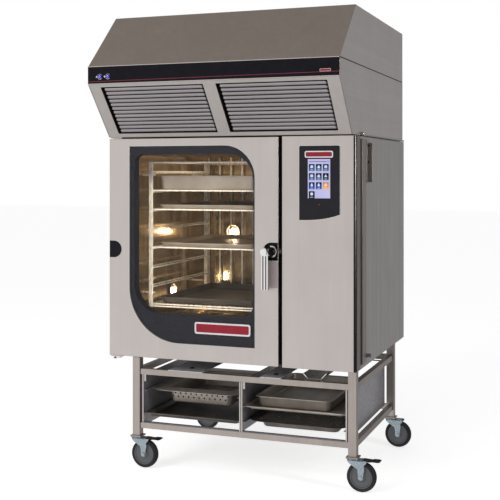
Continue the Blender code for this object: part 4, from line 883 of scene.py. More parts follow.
doorX, doorY, doorZ = extent("door_frame")
glassX, glassY, glassZ = extent("door_glass_outer")
doorBody = bodyOf("door_frame")
doorSizes = {
    "topRadius": 0.142, "lowRadius": 0.238, "windowX": (0.119, 0.688), "windowZ": (0.690, 1.395),
    "windowRadii": {"lowLeft": 0.125, "lowRight": 0.065, "topRight": 0.120, "topLeft": 0.035},
    "edge": 0.0016, "badgeX": (0.415, 0.673), "badgeZ": (0.615, 0.666),
    "plugX": (0.0016, 0.060), "plugZ": 0.971, "plugRadius": 0.037,
}


def glassOutline(offset=0.0, steps=24):
    return roundedOutline(
        widened(glassX, offset), widened(glassZ, offset),
        lowLeft=doorSizes["lowRadius"] + offset, topRight=doorSizes["topRadius"] + offset, steps=steps)


def windowOutline(offset=0.0, steps=12):
    radii = {name: radius + offset for name, radius in doorSizes["windowRadii"].items()}
    return roundedOutline(widened(doorSizes["windowX"], offset), widened(doorSizes["windowZ"], offset),
        steps=steps, **radii)


def plugShape(offset, cup=False):  # a D: the edge plug is flat on its left, the cup on its right
    reach = doorSizes["plugRadius"] + offset
    if cup:
        cupX, cupY, cupZ = extent("handle_cup")
        reach = (cupZ[1] - cupZ[0]) / 2 + offset
        centre = (cupX[0] + (cupZ[1] - cupZ[0]) / 2, middle(cupZ))
        right = cupX[1] + offset
        return arc(centre, reach, 90, 180, 24) + [(right, centre[1] - reach), (right, centre[1] + reach)]
    centre = (doorSizes["plugX"][1] - doorSizes["plugRadius"], doorSizes["plugZ"])
    left = doorSizes["plugX"][0] - offset
    return [(left, centre[1] - reach)] + arc(centre, reach, -90, 180, 24) + [(left, centre[1] + reach)]


def addDoorFrame():
    cupX, cupY, cupZ = extent("handle_cup")
    tongueX, tongueY, tongueZ = extent("latch_tongue")
    innerX, innerY, innerZ = extent("door_glass_inner")
    leverX = extent("door_lever")[0]
    bm = block(doorX, doorY, doorZ, doorSizes["edge"], 3)
    seat = plate(glassOutline(0.0004), (-0.01, glassY[1] + 0.0003))
    rearSeat = block(widened(innerX, 0.0004), (innerY[0] - 0.0003, doorY[1] + 0.01),
        widened(innerZ, 0.0004))
    cup = plate(plugShape(0.0004, True), (-0.01, cupY[1] + 0.0004))
    pins = []
    for z in (doorZ[0], doorZ[1]):
        pins.append(rod((0.016, 0.024, z - 0.024), (0.016, 0.024, z + 0.024), 0.0075, 24))
    bm = drilled(bm, [seat, rearSeat, cup, *pins])
    window = plate(windowOutline(), (-0.02, doorY[1] + 0.02))
    slot = block((cupX[1] - 0.01, doorX[1] + 0.01), widened(tongueY, 0.0015), widened(tongueZ, 0.0015))
    bore = rod((middle(leverX), 0.0, middle(cupZ)), (middle(leverX), 0.037, middle(cupZ)), 0.0085, 24)
    bm = drilled(bm, [window, slot])
    addPiece("doorFrame", drilled(bm, [bore]), "frontSteel", doorBody, ("door_frame",), 30)


def addDoorPanes():
    addDoorFrame()
    pane = plate(glassOutline(), glassY, "y", 0.0006)
    addPiece("doorGlassOuter", pane, "paneGlass", doorBody, ("door_glass_outer",))
    rear = glassY[1] + 0.00015
    border = ringPlate(glassOutline(-0.0008), [windowOutline(-0.002)], (rear - 0.0001, rear + 0.0001))
    addPiece("doorGlassPrint", border, "slatePrint", doorBody)
    trim = ringPlate(glassOutline(0.0018), [glassOutline(0.0001)], (-0.0007, 0.0012), "y", 0.0004)
    addPiece("doorGlassTrim", trim, "wireChrome", doorBody)
    innerX, innerY, innerZ = extent("door_glass_inner")
    inner = plate(evenCorners(innerX, innerZ, 0.006), innerY, "y", 0.0006)
    addPiece("doorGlassInner", inner, "paneGlass", doorBody, ("door_glass_inner",))
    seal = ringPlate(
        evenCorners(widened(innerX, 0.001), widened(innerZ, 0.001), 0.008),
        [evenCorners(widened(innerX, -0.012), widened(innerZ, -0.012), 0.012)],
        (innerY[1] + 0.0001, innerY[1] + 0.0028), "y", 0.0008)
    addPiece("doorInnerPaneSeal", seal, "sealRubber", doorBody)
    clips = [
        block(widened((x, x), 0.014), (doorY[1], doorY[1] + 0.0030), widened((z, z), 0.008), 0.0012, 3)
        for x in (innerX[0] + 0.12, innerX[1] - 0.12) for z in (innerZ[0] - 0.004, innerZ[1] + 0.004)
    ]
    addPiece("doorInnerPaneClips", gathered(*clips), "wireChrome", doorBody)
    lining = ringPlate(windowOutline(-0.0002), [windowOutline(-0.0035)],
        (rear + 0.0004, innerY[0] - 0.0003))
    addPiece("doorWindowLining", lining, "slatePrint", doorBody)


def addDoorMarks():
    addBadge("doorBadge", doorSizes["badgeX"], doorSizes["badgeZ"], glassY[0], 0.0075, 0.010, doorBody)
    centreZ = doorSizes["plugZ"]
    rim = ringPlate(plugShape(0.0), [plugShape(-0.0035)], (-0.0016, 0.0005), "y", 0.0005)
    dish = plate(plugShape(-0.0030), (-0.0008, 0.0005), "y", 0.0003)
    rib = block((0.010, 0.034), (-0.0012, 0.0002), (centreZ - 0.0035, centreZ + 0.0035), 0.0004, 2)
    addPiece("doorEdgePlug", gathered(rim, dish, rib), "plugBlack", doorBody)


handleSizes = {
    "reflectionX": (0.7615, 0.7955), "reflectionZ": (0.826, 0.938), "hookRadius": 0.0215, "hookWire": 0.0046,
    "grooveShade": 0.0028, "barShift": 0.0035, "sealX": (0.8003, 0.8136), "sealY": (0.020, 0.060),
}


def addHandle():
    leverX, leverY, leverZ = extent("door_lever")
    hubZ = handleHubZ()
    hubX = middle(leverX)
    lever = bodyOf("door_lever")
    radius = (leverX[1] - leverX[0]) / 2
    front, rear = leverY[0], leverY[0] + 0.022
    barX = hubX + handleSizes["barShift"]
    bar = plate(evenCorners(widened((barX, barX), 0.0148), (leverZ[0], hubZ), 0.0035),
        (front + 0.002, rear), "y")
    lengths = [e for e in bar.edges if abs(e.verts[0].co.z - e.verts[1].co.z) > 0.02]
    bmesh.ops.bevel(bar, geom=lengths, offset=0.0062, segments=6, profile=0.5, affect="EDGES",
        clamp_overlap=True, material=-1)
    # dark strips down the bar's two grooves: painted shade in the grooves
    shadeStrips = [
        block(widened((barX + off, barX + off), handleSizes["grooveShade"]), (front + 0.0013, front + 0.0032),
            (leverZ[0] + 0.001, hubZ - 0.016), 0.0004, 1)
        for off in (-0.0068, 0.0056)
    ]
    hub = turned(
        [(0, front - 0.0000), (radius * 0.74, front), (radius * 0.93, front + 0.0016),
            (radius, front + 0.0050),
         (radius, rear + 0.004), (radius * 0.80, rear + 0.008), (radius * 0.60, rear + 0.010),
         (radius * 0.60, -0.004), (0, -0.004)],
        (hubX, 0, hubZ), "y", 56)
    spindle = rod((hubX, -0.006, hubZ), (hubX, leverY[1], hubZ), 0.007, 24, 0.0006)
    addPiece("doorLever", gathered(bar, hub, spindle), "brightChrome", lever, ("door_lever",), 40)
    addPiece("doorLeverGrooveShade", gathered(*shadeStrips), "heaterSheathAndShade", lever)

    cupX, cupY, cupZ = extent("handle_cup")
    centreZ = middle(cupZ)
    centre = (cupX[1] - 0.0290, centreZ)
    refine("handle_cup", "handleCup", "handleBlack", 0.0006)
    hookRadius, hookWire = handleSizes["hookRadius"], handleSizes["hookWire"]
    hook = wire([(u, 0.004, v) for u, v in arc(centre, hookRadius, -78, 178, 28)], hookWire, False, 14)
    tips = [rod((u, 0.004, v), (u, 0.018, v), hookWire * 0.9, 14, 0.001) for u,
        v in (arc(centre, hookRadius, -78, 178, 1))]
    addPiece("handleHook", gathered(hook, *tips), "brightChrome", doorBody)
    # a darker beige rectangle beside the lever: painted reflection and shadow of the lever on the brushed
    # steel
    reflectionX, reflectionZ = handleSizes["reflectionX"], handleSizes["reflectionZ"]
    reflectionPatch = plate(evenCorners(reflectionX, reflectionZ, 0.002), (-0.0008, 0.0004), "y", 0.0003)
    addPiece("leverReflectionPatch", reflectionPatch, "leverReflectionMauve", doorBody)
    # the steel latch tongue in the dark sheath finish: painted shade, as it sits in the shaded door gap
    dress("latch_tongue", "heaterSheathAndShade")
    tongueZ = extent("latch_tongue")[2]
    # black strips filling the gap between door and panel, above and below the tongue: painted shadow in the
    # gap
    gapShades = [
        block(handleSizes["sealX"], handleSizes["sealY"], z, 0.002, 2)
        for z in ((doorZ[0] + 0.004, tongueZ[0] - 0.003), (tongueZ[1] + 0.003, doorZ[1] - 0.004))
    ]
    addPiece("doorGapShade", gathered(*gapShades), "blackAndPaintedShade", oven)


def handleHubZ():
    cup = extent("handle_cup")[2]
    return middle(cup)


addDoorPanes()
addDoorMarks()
addHandle()
print("door built")


# ---- control panel and oven case

panelX, panelY, panelZ = extent("control_panel")
bezelX, bezelY, bezelZ = extent("display_bezel")
screenX, screenY, screenZ = extent("touch_screen")
panelSizes = {
    "tileColumns": 3, "tile": (0.0250, 0.0290), "columnPitch": 0.0302, "rowPitch": 0.0375,
    "firstColumn": 0.0045,
    "firstRow": 0.0205, "badgeX": (0.915, 1.037), "badgeZ": (1.3725, 1.4010), "bezelRise": 0.024,
    "cornerX": 1.120, "cornerSkin": 0.0003,
}


def iconFinish(name, top, foot):  # a tile lit from above, two tones blended over its height
    made, tree, shader = startMaterial(name, top, 0.22)
    coords = tree.nodes.new("ShaderNodeTexCoord")
    split = tree.nodes.new("ShaderNodeSeparateXYZ")
    tree.links.new(coords.outputs["Object"], split.inputs["Vector"])
    wave = tree.nodes.new("ShaderNodeMath")
    wave.operation = "SINE"
    scaled = tree.nodes.new("ShaderNodeMath")
    scaled.operation = "MULTIPLY"
    scaled.inputs[1].default_value = 2 * math.pi / panelSizes["rowPitch"]
    tree.links.new(split.outputs["Z"], scaled.inputs[0])
    tree.links.new(scaled.outputs[0], wave.inputs[0])
    shade = blended(tree, remap(tree, wave.outputs[0], 0.0, 1.0, -1.0, 1.0), foot, top)
    tree.links.new(shade, shader.inputs["Base Color"])
    tree.links.new(shade, shader.inputs["Emission Color"])
    shader.inputs["Emission Strength"].default_value = 0.15
    shader.inputs["Specular IOR Level"].default_value = 0.15
    finishes[name] = made


def iconShape(kind, centre, size):  # plain marks: a disc, a drop, a triangle, a flame
    u, v = centre
    if kind == "disc":
        return arc(centre, size * 0.42, 0, 354, 20)
    if kind == "triangle":
        return [(u - size * 0.42, v - size * 0.35), (u + size * 0.42, v - size * 0.35),
            (u, v + size * 0.45)]
    if kind == "drop":
        return arc((u, v - size * 0.12), size * 0.34, 150, 240, 14) + [(u, v + size * 0.55)]
    return arc((u, v - size * 0.10), size * 0.38, 170, 200, 12) + [(u + size * 0.10, v + size * 0.42),
        (u - size * 0.14, v + size * 0.30)]


def addScreenTiles():
    iconFinish("tileSteelBlue", (0.040, 0.100, 0.210), (0.006, 0.010, 0.030))
    iconFinish("tileRoyal", (0.012, 0.060, 0.280), (0.004, 0.012, 0.080))
    iconFinish("tileOrange", (0.720, 0.310, 0.030), (0.560, 0.180, 0.012))
    iconFinish("tileNight", (0.014, 0.009, 0.016), (0.006, 0.004, 0.008))
    iconFinish("tileMark", (0.560, 0.620, 0.720), (0.440, 0.500, 0.620))
    iconFinish("screenBar", (0.180, 0.180, 0.340), (0.240, 0.240, 0.400))
    layout = [
        ("tileSteelBlue", "disc"), ("tileSteelBlue", "flame"), ("tileSteelBlue", "disc"),
        ("tileSteelBlue", "disc"), ("tileSteelBlue", "flame"), ("tileNight", "triangle"),
        ("tileRoyal", "drop"), ("tileRoyal", "drop"), ("tileOrange", "disc"),
        ("tileNight", "disc"),
    ]
    front = screenY[0]
    tiles, marks = {}, []
    for number, (finish, shape) in enumerate(layout):
        column, row = number % panelSizes["tileColumns"], number // panelSizes["tileColumns"]
        left = screenX[0] + panelSizes["firstColumn"] + column * panelSizes["columnPitch"]
        top = screenZ[1] - panelSizes["firstRow"] - row * panelSizes["rowPitch"]
        width, height = panelSizes["tile"]
        outline = evenCorners((left, left + width), (top - height, top), 0.0025, 4)
        tiles.setdefault(finish, []).append(plate(outline, (front - 0.0005, front + 0.0002), "y", 0.0001))
        outline = iconShape(shape, (left + width / 2, top - height * 0.38), width * 0.62)
        marks.append(plate(outline, (front - 0.0008, front), "y"))
        foot = evenCorners((left + width * 0.26, left + width * 0.74),
            (top - height * 0.88, top - height * 0.81), 0.0008, 3)
        marks.append(plate(foot, (front - 0.0008, front), "y"))
    for finish, parts in tiles.items():
        addPiece("screen" + finish[0].upper() + finish[1:], gathered(*parts), finish, oven)
    addPiece("screenMarks", gathered(*marks), "tileMark", oven)
    bar = plate(evenCorners((screenX[0] + 0.006, screenX[1] - 0.016),
        (screenZ[1] - 0.0125, screenZ[1] - 0.0085), 0.001), (front - 0.0005, front), "y")
    square = plate(evenCorners((screenX[1] - 0.0115, screenX[1] - 0.0060),
        (screenZ[1] - 0.0130, screenZ[1] - 0.0070), 0.001), (front - 0.0005, front), "y")
    addPiece("screenBar", gathered(bar, square), "screenBar", oven)


def bezelOutline(offset=0.0):
    x, z = widened(bezelX, offset), widened(bezelZ, offset)
    radius = 0.006
    points = arc((x[0] + radius, z[0] + radius), radius, 180)
    points += [(x[0] + (x[1] - x[0]) * i / 16,
        z[0] + panelSizes["bezelRise"] * (i / 16) ** 2.6) for i in range(2, 17)]
    points += arc((x[1] - radius, z[1] - radius), radius, 0)
    points += arc((x[0] + radius, z[1] - radius), radius, 90)
    return points


def addControlPanel():
    refine("control_panel", "controlPanel", "frontSteel", 0.0007, 2, 40)
    refine("display_bezel", "displayBezel", "bezelBlack", 0.0005)
    dress("touch_screen", "screenGlow")
    # a thin dark skin over the panel's rounded right corner: painted shade, a darker copy of the front
    # steel standing in for the dark reflection there
    step = panelX[1] - panelSizes["cornerX"]
    centre = (panelSizes["cornerX"], step)
    skin = panelSizes["cornerSkin"]
    rear = panelY[1] - 0.001
    outline = arc(centre, step + skin, -80, 80, 12) + [(panelX[1] + skin, rear), (panelX[1] - skin, rear)]
    outline += arc(centre, step - skin, -80, 80, 12)[::-1]
    addPiece("panelCornerPaintedShade", plate(outline, widened(panelZ, -0.0015), "z"), "paintedShadeCornerSteel", oven,
        (), 60)
    trim = ringPlate(bezelOutline(0.0020), [bezelOutline(0.0002)], (-0.0014, -0.0001), "y", 0.0004)
    addPiece("bezelTrim", trim, "wireChrome", oven)
    addBadge("bezelBadge", panelSizes["badgeX"], panelSizes["badgeZ"], bezelY[0], 0.0050, 0.0070, oven)
    led = turned([(0, bezelY[0] - 0.0008), (0.0024, bezelY[0] - 0.0006), (0.0030, bezelY[0] + 0.0002),
        (0, bezelY[0] + 0.0002)], (0.977, 0, 1.179), "y", 20)
    addPiece("panelLight", led, "linePaint", oven)
    addScreenTiles()


addControlPanel()

caseX, caseY, caseZ = extent("cabinet_base")
sideX, sideY, sideZ = extent("cabinet_right_side")
caseSizes = {
    "hingePin": (0.016, 0.024), "channelY": (0.084, 0.152), "channelZ": (0.512, 1.452),
    "channelOut": 0.0045, "grooveY": 0.163,
    "bracketY": (0.165, 0.290), "bracketZ": (1.266, 1.449), "fittingY": (0.165, 0.220),
    "fittingZ": (0.529, 0.542),
}


def screwHead(place, axis, outward, radius=0.0042, rise=0.0022):  # a domed head with a cross slot
    direction = {"x": Vector((1, 0, 0)), "y": Vector((0, 1, 0)), "z": Vector((0, 0, 1))}[axis] * outward
    head = bmesh.new()
    bmesh.ops.create_cone(head, cap_ends=True, segments=16, radius1=radius, radius2=radius * 0.86,
        depth=rise)
    top = max(head.faces, key=lambda f: f.calc_center_median().z)
    bmesh.ops.inset_region(head, faces=[top], thickness=radius * 0.30, depth=rise * 0.30)
    top = max(head.faces, key=lambda f: f.calc_center_median().z)
    bmesh.ops.inset_region(head, faces=[top], thickness=radius * 0.16, depth=-rise * 0.45)
    turn = direction.to_track_quat("Z", "Y").to_matrix().to_4x4()
    return moved(head, Matrix.Translation(Vector(place) + direction * rise * 0.4) @ turn)


def addCaseSkins():
    for node, name, finish in (
        ("cabinet_left_side", "caseLeftSide", "sideSteel"),
        ("cabinet_right_side", "caseRightSide", "sideSteel"),
        ("cabinet_back", "caseBack", "backSteel"),
        ("cabinet_base", "caseBase", "backSteel"),
        ("cabinet_top", "caseTop", "backSteel"),
    ):
        refine(node, name, finish, 0.0006)
    for node in ("door_hinge_bottom", "door_hinge_top"):
        refine(node, "doorHinge" + node.split("_")[-1].capitalize(), "wireChrome", 0.0006)
    hingeX, hingeY, hingeZ = extent("door_hinge_bottom")
    foot = hingeZ[0] - 0.0001
    pin = (caseSizes["hingePin"][0], caseSizes["hingePin"][1])
    knuckle = [
        rod((*pin, foot - 0.006), (*pin, foot), 0.0100, 28, 0.0008),
        rod((*pin, foot - 0.012), (*pin, foot - 0.006), 0.0078, 6, 0.0008),
        block((pin[0] + 0.010, pin[0] + 0.030), (pin[1] - 0.012, pin[1] + 0.010), (foot - 0.007, foot),
            0.0016, 3),
    ]
    addPiece("doorHingeKnuckle", gathered(*knuckle), "wireChrome", oven)


def addSideFittings():
    face = sideX[1]
    sizes = caseSizes
    channel = block((face, face + sizes["channelOut"]), sizes["channelY"], sizes["channelZ"], 0.0022, 4)
    addPiece("sideChannel", channel, "channelSteel", oven)
    lip = block((face, face + 0.0020), (sizes["channelY"][1] + 0.004, sizes["grooveY"] - 0.004),
        sizes["channelZ"], 0.0009, 3)
    addPiece("sideChannelLip", lip, "channelSteel", oven)
    # dark strips along the channel's edges and its groove: painted shadow lines
    shadeStrips = [
        block((face - 0.0002, face + 0.0006), y, sizes["channelZ"])
        for y in ((sizes["channelY"][1], sizes["channelY"][1] + 0.004),
                (sizes["grooveY"] - 0.003, sizes["grooveY"]),
                  (sideY[0] - 0.004, sizes["channelY"][0]))
    ]
    addPiece("sideChannelShadow", gathered(*shadeStrips), "heaterSheathAndShade", oven)

    y, z = sizes["bracketY"], sizes["bracketZ"]
    base = block((face, face + 0.0035), (y[0], y[0] + 0.052), z, 0.0014, 3)
    flange = block((face, face + 0.016), (y[0] + 0.044, y[0] + 0.050), (z[0] + 0.004, z[1] - 0.010), 0.0012,
        3)
    wedge = block((face, face + 0.0025), (y[0] + 0.048, y[1] - 0.020), (z[0] + 0.012, z[1] - 0.022), 0.0010,
        3)
    addPiece("sideBracket", gathered(base, flange, wedge), "trimSteel", oven)
    # black D shapes on the bracket where its slots are: painted shade in the slots
    slotShades = [
        plate(arc((y[0] + 0.064, height), 0.021, -90, 180, 16), (face + 0.0026, face + 0.0040), "x")
        for height in (z[0] + 0.046, z[0] + 0.130)
    ]
    addPiece("sideBracketSlotShade", gathered(*slotShades), "blackAndPaintedShade", oven)
    screws = [screwHead((face + 0.0035, y[0] + 0.022, height), "x", 1, 0.0050,
        0.0030) for height in (z[0] + 0.090, z[0] + 0.160)]
    addPiece("sideBracketScrews", gathered(*screws), "blackAndPaintedShade", oven)
    y, z = sizes["fittingY"], sizes["fittingZ"]
    spigot = rod((face, y[0] + 0.012, middle(z)), (face + 0.020, y[0] + 0.012, middle(z)), 0.008, 24,
        0.0015)
    clip = block((face, face + 0.006), (y[0], y[1]), (z[0] - 0.002, z[0] + 0.008), 0.0018, 3)
    addPiece("sideFitting", gathered(spigot, clip), "trimSteel", oven)


backSizes = {
    "louvreX": (0.700, 1.020), "louvreZ": 1.180, "louvres": 9, "louvrePitch": 0.022,
    "coverX": (0.120, 0.620),
    "coverZ": (0.620, 1.360), "inletZ": 0.610, "inletX": (0.760, 0.850), "drainX": 0.420, "drainZ": 0.560,
    "glandX": 0.990,
}


def addBackFittings():
    face = caseY[1]
    sizes = backSizes
    cover = plate(evenCorners(sizes["coverX"], sizes["coverZ"], 0.012), (face, face + 0.0025), "y", 0.0010,
        3)
    addPiece("rearCover", cover, "backSteel", oven)
    blades = []
    for i in range(sizes["louvres"]):
        foot = sizes["louvreZ"] + i * sizes["louvrePitch"]
        blade = plate([(face, foot), (face + 0.007, foot), (face + 0.0085, foot + 0.002),
            (face, foot + 0.013)], sizes["louvreX"], "x", 0.0008)
        blades.append(blade)
    addPiece("rearLouvres", gathered(*blades), "backSteel", oven)
    mouths = [
        block(widened(sizes["louvreX"], -0.004), (face + 0.0002, face + 0.0070),
            (sizes["louvreZ"] + i * sizes["louvrePitch"] - 0.0008,
                sizes["louvreZ"] + i * sizes["louvrePitch"] + 0.0002))
        for i in range(sizes["louvres"])
    ]
    addPiece("rearLouvreShadows", gathered(*mouths), "blackAndPaintedShade", oven)
    inlets = []
    for x in sizes["inletX"]:
        inlets.append(rod((x, face - 0.001, sizes["inletZ"]), (x, face + 0.030, sizes["inletZ"]), 0.0130,
            32, 0.001))
        inlets.append(rod((x, face, sizes["inletZ"]), (x, face + 0.008, sizes["inletZ"]), 0.0185, 6, 0.001))
        for ring in range(6):
            inlets.append(rod((x, face + 0.011 + ring * 0.003, sizes["inletZ"]),
                (x, face + 0.0125 + ring * 0.003, sizes["inletZ"]), 0.0136, 32, 0.0005))
    addPiece("waterInlets", gathered(*inlets), "brass", oven)
    drain = turned([(0.019, 0.0), (0.023, 0.0), (0.025, 0.001), (0.025, 0.034), (0.023, 0.036),
        (0.019, 0.036)], (sizes["drainX"], face, sizes["drainZ"]), "y", 40)
    collar = ringPlate(arc((sizes["drainX"], sizes["drainZ"]), 0.036, 0, 350, 35),
        [arc((sizes["drainX"], sizes["drainZ"]), 0.020, 0, 350, 35)], (face, face + 0.003), "y", 0.0008)
    addPiece("drainOutlet", gathered(drain, collar), "backSteel", oven)
    gland = turned([(0.0, 0.0), (0.017, 0.0), (0.017, 0.006), (0.014, 0.008), (0.014, 0.020),
        (0.011, 0.025), (0.007, 0.026), (0.007, 0.020), (0.0, 0.020)],
                   (sizes["glandX"], face, sizes["inletZ"]), "y", 32)
    addPiece("cableGland", gland, "handleBlack", oven)
    screws = []
    for x in [caseX[0] + 0.020 + i * (caseX[1] - caseX[0] - 0.040) / 6 for i in range(7)]:
        for z in (caseZ[0] + 0.018, sideZ[1] - 0.016):
            screws.append(screwHead((x, face, z), "y", 1))
    for z in [caseZ[0] + 0.14 + i * 0.17 for i in range(5)]:
        for x in (caseX[0] + 0.020, caseX[1] - 0.020):
            screws.append(screwHead((x, face, z), "y", 1))
    for x in (sizes["coverX"][0] + 0.020, middle(sizes["coverX"]), sizes["coverX"][1] - 0.020):
        for z in (sizes["coverZ"][0] + 0.018, sizes["coverZ"][1] - 0.018):
            screws.append(screwHead((x, face + 0.0025, z), "y", 1))
    addPiece("rearScrews", gathered(*screws), "wireChrome", oven)
    hoodScrews = [screwHead((x, hoodY[1], z), "y", 1)
                  for x in [hoodX[0] + 0.030 + i * (hoodX[1] - hoodX[0] - 0.060) / 5 for i in range(6)]
                  for z in (hoodZ[0] + 0.022, hoodZ[1] - 0.022)]
    hoodScrews += [screwHead((x, y, hoodZ[1]), "z", 1)
                   for x in (hoodX[0] + 0.020, hoodX[1] - 0.020)
                   for y in [0.12 + i * 0.20 for i in range(5)]]
    addPiece("hoodScrews", gathered(*hoodScrews), "wireChrome", oven)
    panel = plate(evenCorners((0.110, 1.006), (hoodZ[0] + 0.070, hoodZ[1] - 0.080), 0.010),
        (hoodY[1] + 0.0000, hoodY[1] + 0.0020), "y", 0.0008, 3)
    addPiece("hoodRearCover", panel, "backSteel", oven)


addCaseSkins()
addSideFittings()
addBackFittings()
print("case built")


# ---- cavity

linerX, linerY, linerZ = extent("cavity_liner")
baffleX, baffleY, baffleZ = extent("fan_baffle")
rackX, rackY, rackZ = extent("oven_rack")
cavitySizes = {
    "left": 0.085, "right": baffleX[0], "floor": 0.600, "roof": 1.405, "back": 0.800, "front": 0.067,
    "cove": 0.030,
    "postWidth": 0.020, "postThick": 0.0042, "runnerRadius": 0.0030, "levels": 8, "pitch": 0.0855,
    "firstRunner": 0.714,
    "lamps": (("wall", 0.470, 0.737), ("back", 0.280, 1.008)), "lampRadius": 0.034, "bulb": 0.0062,
    "bulbHalf": 0.013,
    "bulbApart": 0.0115, "bars": 9, "barX": (0.150, 0.640), "barHalf": 0.005, "barY": (0.780, 0.784),
    "lights": {
        "roofLight": {"place": (0.385, 0.400, 1.392), "toward": (0, 0, -1), "width": 0.42, "height": 0.50,
            "power": 2.6,
                      "colour": (1.0, 0.80, 0.54)},
        "frontLight": {"place": (0.385, 0.076, 0.960), "toward": (0, 1, -0.05), "width": 0.48,
            "height": 0.62, "power": 2.3,
                       "colour": (1.0, 0.86, 0.64)},
    },
}


def addCavityShell():
    refine("cavity_liner", "cavityLiner", "cavitySteelLampTint", 0.0006)
    sizes = cavitySizes
    radius = sizes["cove"]
    coves = []
    for x, z, turn in (
        (sizes["left"], sizes["floor"], 180), (sizes["left"], sizes["roof"], 90),
        (sizes["right"], sizes["roof"], 0), (sizes["right"], sizes["floor"], 270),
    ):
        signX, signZ = (1 if x == sizes["left"] else -1), (1 if z == sizes["floor"] else -1)
        outline = [(x, z)] + arc((x + signX * radius, z + signZ * radius), radius, turn, 90, 10)
        coves.append(plate(outline, (sizes["front"] + 0.004, sizes["back"] - 0.0005), "y"))
    addPiece("cavityCoves", gathered(*coves), "cavitySteelLampTint", oven)
    ribs = []
    for i in range(6):
        x = sizes["left"] + 0.09 + i * 0.092
        ribs.append(plate([(x - 0.016, sizes["back"]), (x - 0.009, sizes["back"] - 0.005),
            (x + 0.009, sizes["back"] - 0.005), (x + 0.016, sizes["back"])], (1.085, 1.150), "z", 0.0015))
    addPiece("cavityBackRibs", gathered(*ribs), "cavitySteelLampTint", oven)
    bars = []
    for i in range(sizes["bars"]):
        x = sizes["barX"][0] + (sizes["barX"][1] - sizes["barX"][0]) * i / (sizes["bars"] - 1)
        bars.append(block(widened((x, x), sizes["barHalf"]), sizes["barY"],
            (sizes["floor"] + 0.022, sizes["roof"] - 0.015), 0.0012, 2))
    for z in (sizes["floor"] + 0.060, sizes["roof"] - 0.050):
        bars.append(block(widened(sizes["barX"], 0.012),
            (sizes["barY"][1] - 0.0005, sizes["barY"][1] + 0.003), widened((z, z), 0.005), 0.0010, 2))
        for x in sizes["barX"]:
            bars.append(rod((x, sizes["barY"][1], z), (x, sizes["back"] + 0.001, z), 0.005, 12))
    addPiece("cavityBackBars", gathered(*bars), "rackWire", oven)
    gasketX, gasketY, gasketZ = extent("door_gasket")
    outer = evenCorners(gasketX, gasketZ, 0.024)
    inner = evenCorners(widened(gasketX, -0.016), widened(gasketZ, -0.016), 0.012)
    lips = ringPlate(outer, [inner], gasketY, "y", 0.0030)
    addPiece("doorGasket", softened(lips, 0.0012, 2), "sealRubber", oven, ("door_gasket",))


def addFanGuard():
    refine("fan_baffle", "fanBaffle", "cavitySteelLampTint", 0.0006)
    wheelX, wheelY, wheelZ = extent("fan_wheel")
    centreY, centreZ = middle(wheelY), middle(wheelZ)
    face = baffleX[0] - 0.003
    rings = []
    for radius in (0.030, 0.055, 0.080, 0.105, 0.128):
        rings.append(wire([(face, u, v) for u, v in arc((centreY, centreZ), radius, 0, 352.5, 47)], 0.0018,
            True, 6))
    for angle in range(0, 180, 45):
        c, s = math.cos(math.radians(angle)), math.sin(math.radians(angle))
        rings.append(rod((face - 0.002, centreY - 0.134 * c, centreZ - 0.134 * s),
            (face - 0.002, centreY + 0.134 * c, centreZ + 0.134 * s), 0.0022, 8))
    addPiece("fanGuard", gathered(*rings), "wireChrome", oven)
    dress("fan_wheel", "cavitySteelLampTint")
    dress("fan_motor", "motorPaint")
    heaterX, heaterY, heaterZ = extent("heating_element")
    loops = []
    for shift in (-0.008, 0.008):
        x = middle(heaterX) + shift
        radius = (heaterY[1] - heaterY[0]) / 2 - 0.004
        loops.append(wire([(x, u, v) for u,
            v in arc((middle(heaterY), middle(heaterZ)), radius, -80, 340, 64)], 0.0042, False, 10))
    addPiece("heatingElement", gathered(*loops), "heaterSheathAndShade", oven, ("heating_element",))


def addLamps():  # a shallow dish and ring at each place, with two upright bulbs in it
    sizes = cavitySizes
    radius = sizes["lampRadius"]
    dish = [(0, 0.0006), (radius * 0.90, 0.0006), (radius * 0.94, 0.0070), (radius * 1.02, 0.0095),
        (radius * 1.20, 0.0070),
            (radius * 1.26, 0.0004), (radius * 1.26, 0), (0, 0)]
    dishes, bulbs = [], []
    for wall, across, height in sizes["lamps"]:
        for side in (-1, 1):
            if wall == "back":
                at = Vector((across + side * sizes["bulbApart"], sizes["back"] - 0.011, height))
            else:
                at = Vector((sizes["left"] + 0.011, across + side * sizes["bulbApart"], height))
            up = Vector((0, 0, sizes["bulbHalf"]))
            bulbs.append(rod(at - up, at + up, sizes["bulb"], 20, sizes["bulb"] * 0.6))
        if wall == "back":
            dishes.append(turned([(r, -h) for r, h in dish], (across, sizes["back"], height), "y", 40))
        else:
            dishes.append(turned(dish, (sizes["left"], across, height), "x", 40))
    addPiece("cavityLampBulbs", gathered(*bulbs), "lampGlow", oven, ("cavity_lamp",))
    addPiece("cavityLampDishes", gathered(*dishes), "heaterSheathAndShade", oven)


def addCavityLights():  # the lamps' spill on the racks and trays, from the roof and from the door
    for name, look in cavitySizes["lights"].items():
        light = bpy.data.lights.new(name, "AREA")
        light.shape = "RECTANGLE"
        light.size, light.size_y, light.energy = look["width"], look["height"], look["power"]
        light.color = look["colour"]
        holder = bpy.data.objects.new(name, light)
        holder.location = corner + Vector(look["place"])
        holder.rotation_euler = Vector(look["toward"]).to_track_quat("-Z", "Y").to_euler()
        holder.visible_glossy = False
        bpy.context.scene.collection.objects.link(holder)


def runnerHeight(level):
    return cavitySizes["firstRunner"] + level * cavitySizes["pitch"]


